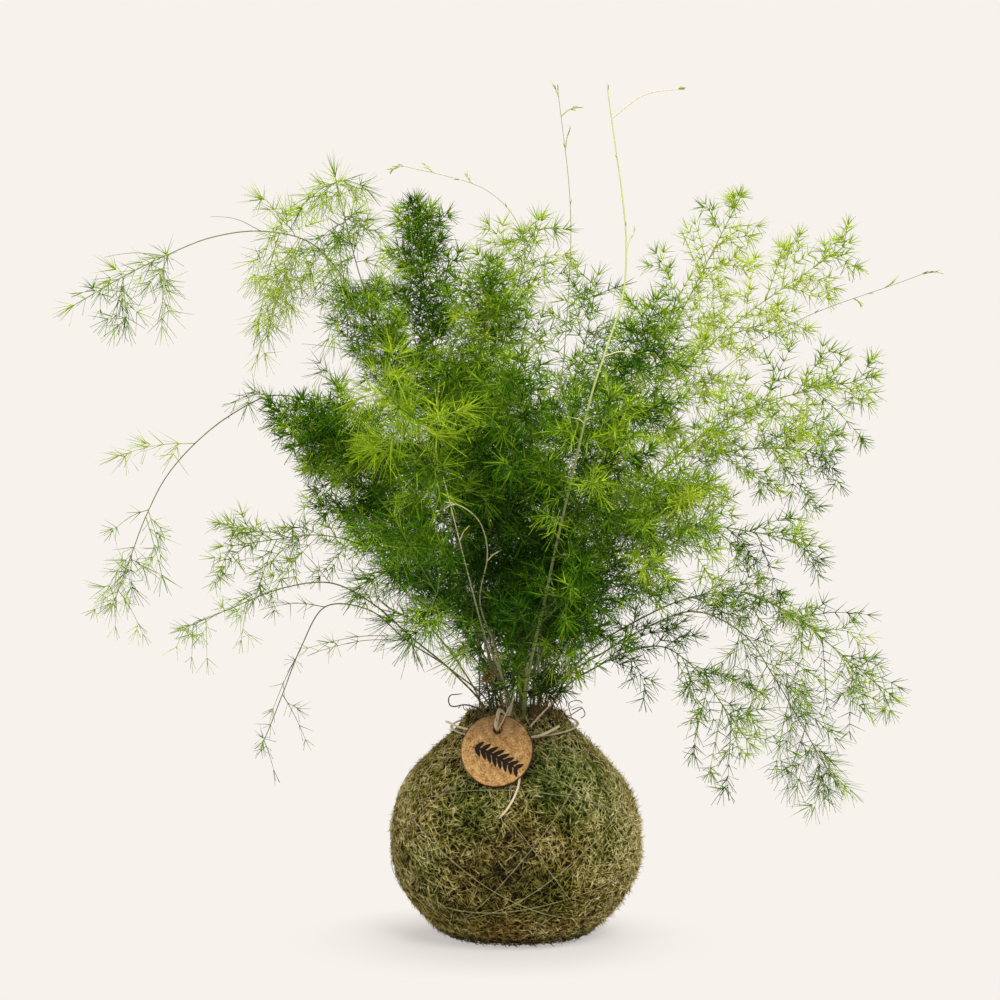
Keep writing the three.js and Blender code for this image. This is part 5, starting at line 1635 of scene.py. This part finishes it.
def withered_bits(draw):
    """Short curled threads and needles of peat, straw and dry stem between the stems' feet."""
    growth = Growth()
    for middle, spread, count, tone in WITHERED:
        roots = draw.normal(0, 1, (count, 3)) * spread + middle
        low = roots[:, 2] < LITTER_TOP
        far = np.maximum(np.hypot(roots[:, 0], roots[:, 1]), 1)
        roots[low, :2] *= np.minimum(1, LITTER_REACH / far[low])[:, None]
        headings = unit(draw.normal(0, 1, (count, 3)) * (1, 1, 0.8))
        growth.add_needles(roots, headings, draw.uniform(3, 8, count), tone + draw.normal(0, 0.12, count))
        for _ in range(count // 7):
            start = draw.normal(0, 0.8, 3) * spread + middle
            bend = draw.normal(0, 3.2, (3, 3))
            points = start + np.concatenate([[(0, 0, 0)], np.cumsum(bend, axis=0)])
            growth.add_limb(Line(points, step=1.2, closest=1).points, 0.24, 1.0, tone + draw.normal(0, 0.12))
    keep_clear(growth, neck=False)
    return growth.piece("withered_bits", WITHERED_SHADE_SEED)


class KOKEDAMA_OT_shoots(bpy.types.Operator):
    """Grow the young shoots, the pale stems and the dead stems"""

    bl_idname = "kokedama.shoots"
    bl_label = "Shoots and dead stems"

    def execute(self, context):
        settings = context.scene.kokedama_foliage
        bud = fibre_shape("bud")
        living = growing_tree(paint_needles(settings), paint_stems())
        dead = paint_dead()
        dry = growing_tree(dead, dead)
        for i, (name, habit) in enumerate(SHOOTS.items()):
            shoot = grow_shoot(name, *habit, SHOOT_SEED + i)
            tree, slot = (dry, "dead_stem") if habit[0] == 1 else (living, "young_stem")
            bake_nodes(shoot, tree, shape=bud, needle_width=0.7 * MM, sides=8, twig_sides=5)
            seat(shoot, slot, name)
        bits = withered_bits(np.random.default_rng(WITHERED_SEED))
        bake_nodes(bits, dry, shape=bud, needle_width=0.4 * MM, sides=5, twig_sides=4)
        seat(bits, "dead_stem")
        drop_shapes(bud)
        return {"FINISHED"}


# Stage


# Where the floor takes a shadow, in metres: how far its middle is put aside and to the front, how narrow it
# is from side to side as a share, and where it begins and is full
SHADE_ASIDE = 0.005
SHADE_MIDDLE = 0.02
SHADE_NARROW = 0.8
SHADE_FROM = 0.095
SHADE_FULL = 0.03

# The floor's flat part, the bend up to its wall, and the wall's top, in metres
FLOOR_REACH = 2.4
WALL_BEND = 0.6
WALL_TOP = 1.3


def paint_backdrop(settings, light_level):
    """Matt studio paper, lit evenly.

    It gives off its own tone, and only close round the ball takes a part of it from the lights instead, so
    that a faint shadow shows there.
    """
    material, tree, shader = new_surface("matt_studio_paper", 1.0, Specular_IOR_Level=0.0)
    pale = settings.backdrop
    place = add_node(tree, "ShaderNodeTexCoord").outputs["Object"]
    mapped = add_node(tree, "ShaderNodeMapping", {
        "Vector": place, "Location": (SHADE_ASIDE, SHADE_MIDDLE, 0), "Scale": (SHADE_NARROW, 1, 1)})
    away = add_node(tree, "ShaderNodeVectorMath", (mapped,), operation="LENGTH")
    near = add_node(
        tree, "ShaderNodeMapRange", (away, SHADE_FROM, SHADE_FULL), interpolation_type="SMOOTHSTEP")
    own = opaque([(1 - settings.shadow) * value for value in pale])
    albedo = opaque([settings.shadow * value / level for value, level in zip(pale, light_level)])
    black = opaque((0, 0, 0))
    finish_surface(tree, shader, add_node(tree, "ShaderNodeMix", (near, black, albedo), data_type="RGBA"))
    glow = add_node(tree, "ShaderNodeMix", (near, opaque(pale), own), data_type="RGBA")
    tree.links.new(first_output(glow), shader.inputs["Emission Color"])
    shader.inputs["Emission Strength"].default_value = 1.0
    return material


def studio_bowl(material):
    """The floor and a low wall all round it in one sweep, so that each side has the same background."""
    outline = [(FLOOR_REACH + WALL_BEND, WALL_TOP)]
    for angle in np.linspace(math.pi / 2, 0, 9):
        outline.append((FLOOR_REACH + WALL_BEND * math.sin(angle), WALL_BEND * (1 - math.cos(angle))))
    outline += [(0.6, 0.0), (0.0, 0.0)]
    places, faces = revolve(outline, 96)
    return mesh_piece("studio_bowl", np.array(places) / MM, faces, material)


# The soft lights: their share of the key strength, height and turn in degrees, and softness in degrees
SUNS = (("key_light", 0.8, 46, 26, 30), ("fill_light", 0.45, 24, -36, 50), ("back_light", 0.35, 58, 170, 40))


class KOKEDAMA_OT_stage(bpy.types.Operator):
    """Set up the pale floor, the soft light and the camera"""

    bl_idname = "kokedama.stage"
    bl_label = "Stage"

    def execute(self, context):
        scene = context.scene
        settings = scene.kokedama_stage
        scene.view_settings.view_transform = "Standard"
        sun_level = 0.0
        for name, share, height, turn, softness in SUNS:
            light = bpy.data.lights.new(name, "SUN")
            light.energy = share * settings.key_strength
            light.angle = math.radians(softness)
            sun = bpy.data.objects.new(name, light)
            sun.rotation_euler = (math.radians(90 - height), 0, math.radians(turn))
            scene.collection.objects.link(sun)
            sun_level += light.energy * math.sin(math.radians(height)) / math.pi
        sky_level = [settings.sky_strength * value for value in settings.backdrop]
        bowl = studio_bowl(paint_backdrop(settings, [sun_level + level for level in sky_level]))
        bowl.visible_diffuse = False
        world = bpy.data.worlds.new("studio_air")
        world.use_nodes = True
        air = world.node_tree.nodes["Background"]
        air.inputs[0].default_value = opaque(settings.backdrop)
        air.inputs[1].default_value = settings.sky_strength
        scene.world = world
        camera = bpy.data.objects.new("camera", bpy.data.cameras.new("camera"))
        camera.data.lens = CAMERA_LENS
        camera.location = CAMERA_PLACE
        camera.rotation_euler = (math.pi / 2 - CAMERA_DOWN, 0, 0)
        scene.collection.objects.link(camera)
        scene.camera = camera
        return {"FINISHED"}


OPERATORS = (
    KOKEDAMA_OT_stage, KOKEDAMA_OT_soil, KOKEDAMA_OT_moss, KOKEDAMA_OT_thread, KOKEDAMA_OT_tag,
    KOKEDAMA_OT_raffia, KOKEDAMA_OT_fronds, KOKEDAMA_OT_shoots,
)


class KOKEDAMA_PT_panel(bpy.types.Panel):
    """Makes the moss ball plant piece by piece"""

    bl_idname = "KOKEDAMA_PT_panel"
    bl_label = "Kokedama"
    bl_space_type = "VIEW_3D"
    bl_region_type = "UI"
    bl_category = "Kokedama"

    def draw(self, context):
        for operator in OPERATORS:
            self.layout.operator(operator.bl_idname)


def register():
    for group in SETTINGS.values():
        bpy.utils.register_class(group)
    for name, group in SETTINGS.items():
        setattr(bpy.types.Scene, name, bpy.props.PointerProperty(type=group))
    for made in (*OPERATORS, KOKEDAMA_PT_panel):
        bpy.utils.register_class(made)


def unregister():
    for made in reversed((*OPERATORS, KOKEDAMA_PT_panel)):
        bpy.utils.unregister_class(made)
    for name, group in reversed(SETTINGS.items()):
        delattr(bpy.types.Scene, name)
        bpy.utils.unregister_class(group)


def main():
    """Makes every piece."""
    register()
    for operator in OPERATORS:
        getattr(bpy.ops.kokedama, operator.bl_idname.split(".")[1])()


if __name__ == "__main__":
    main()
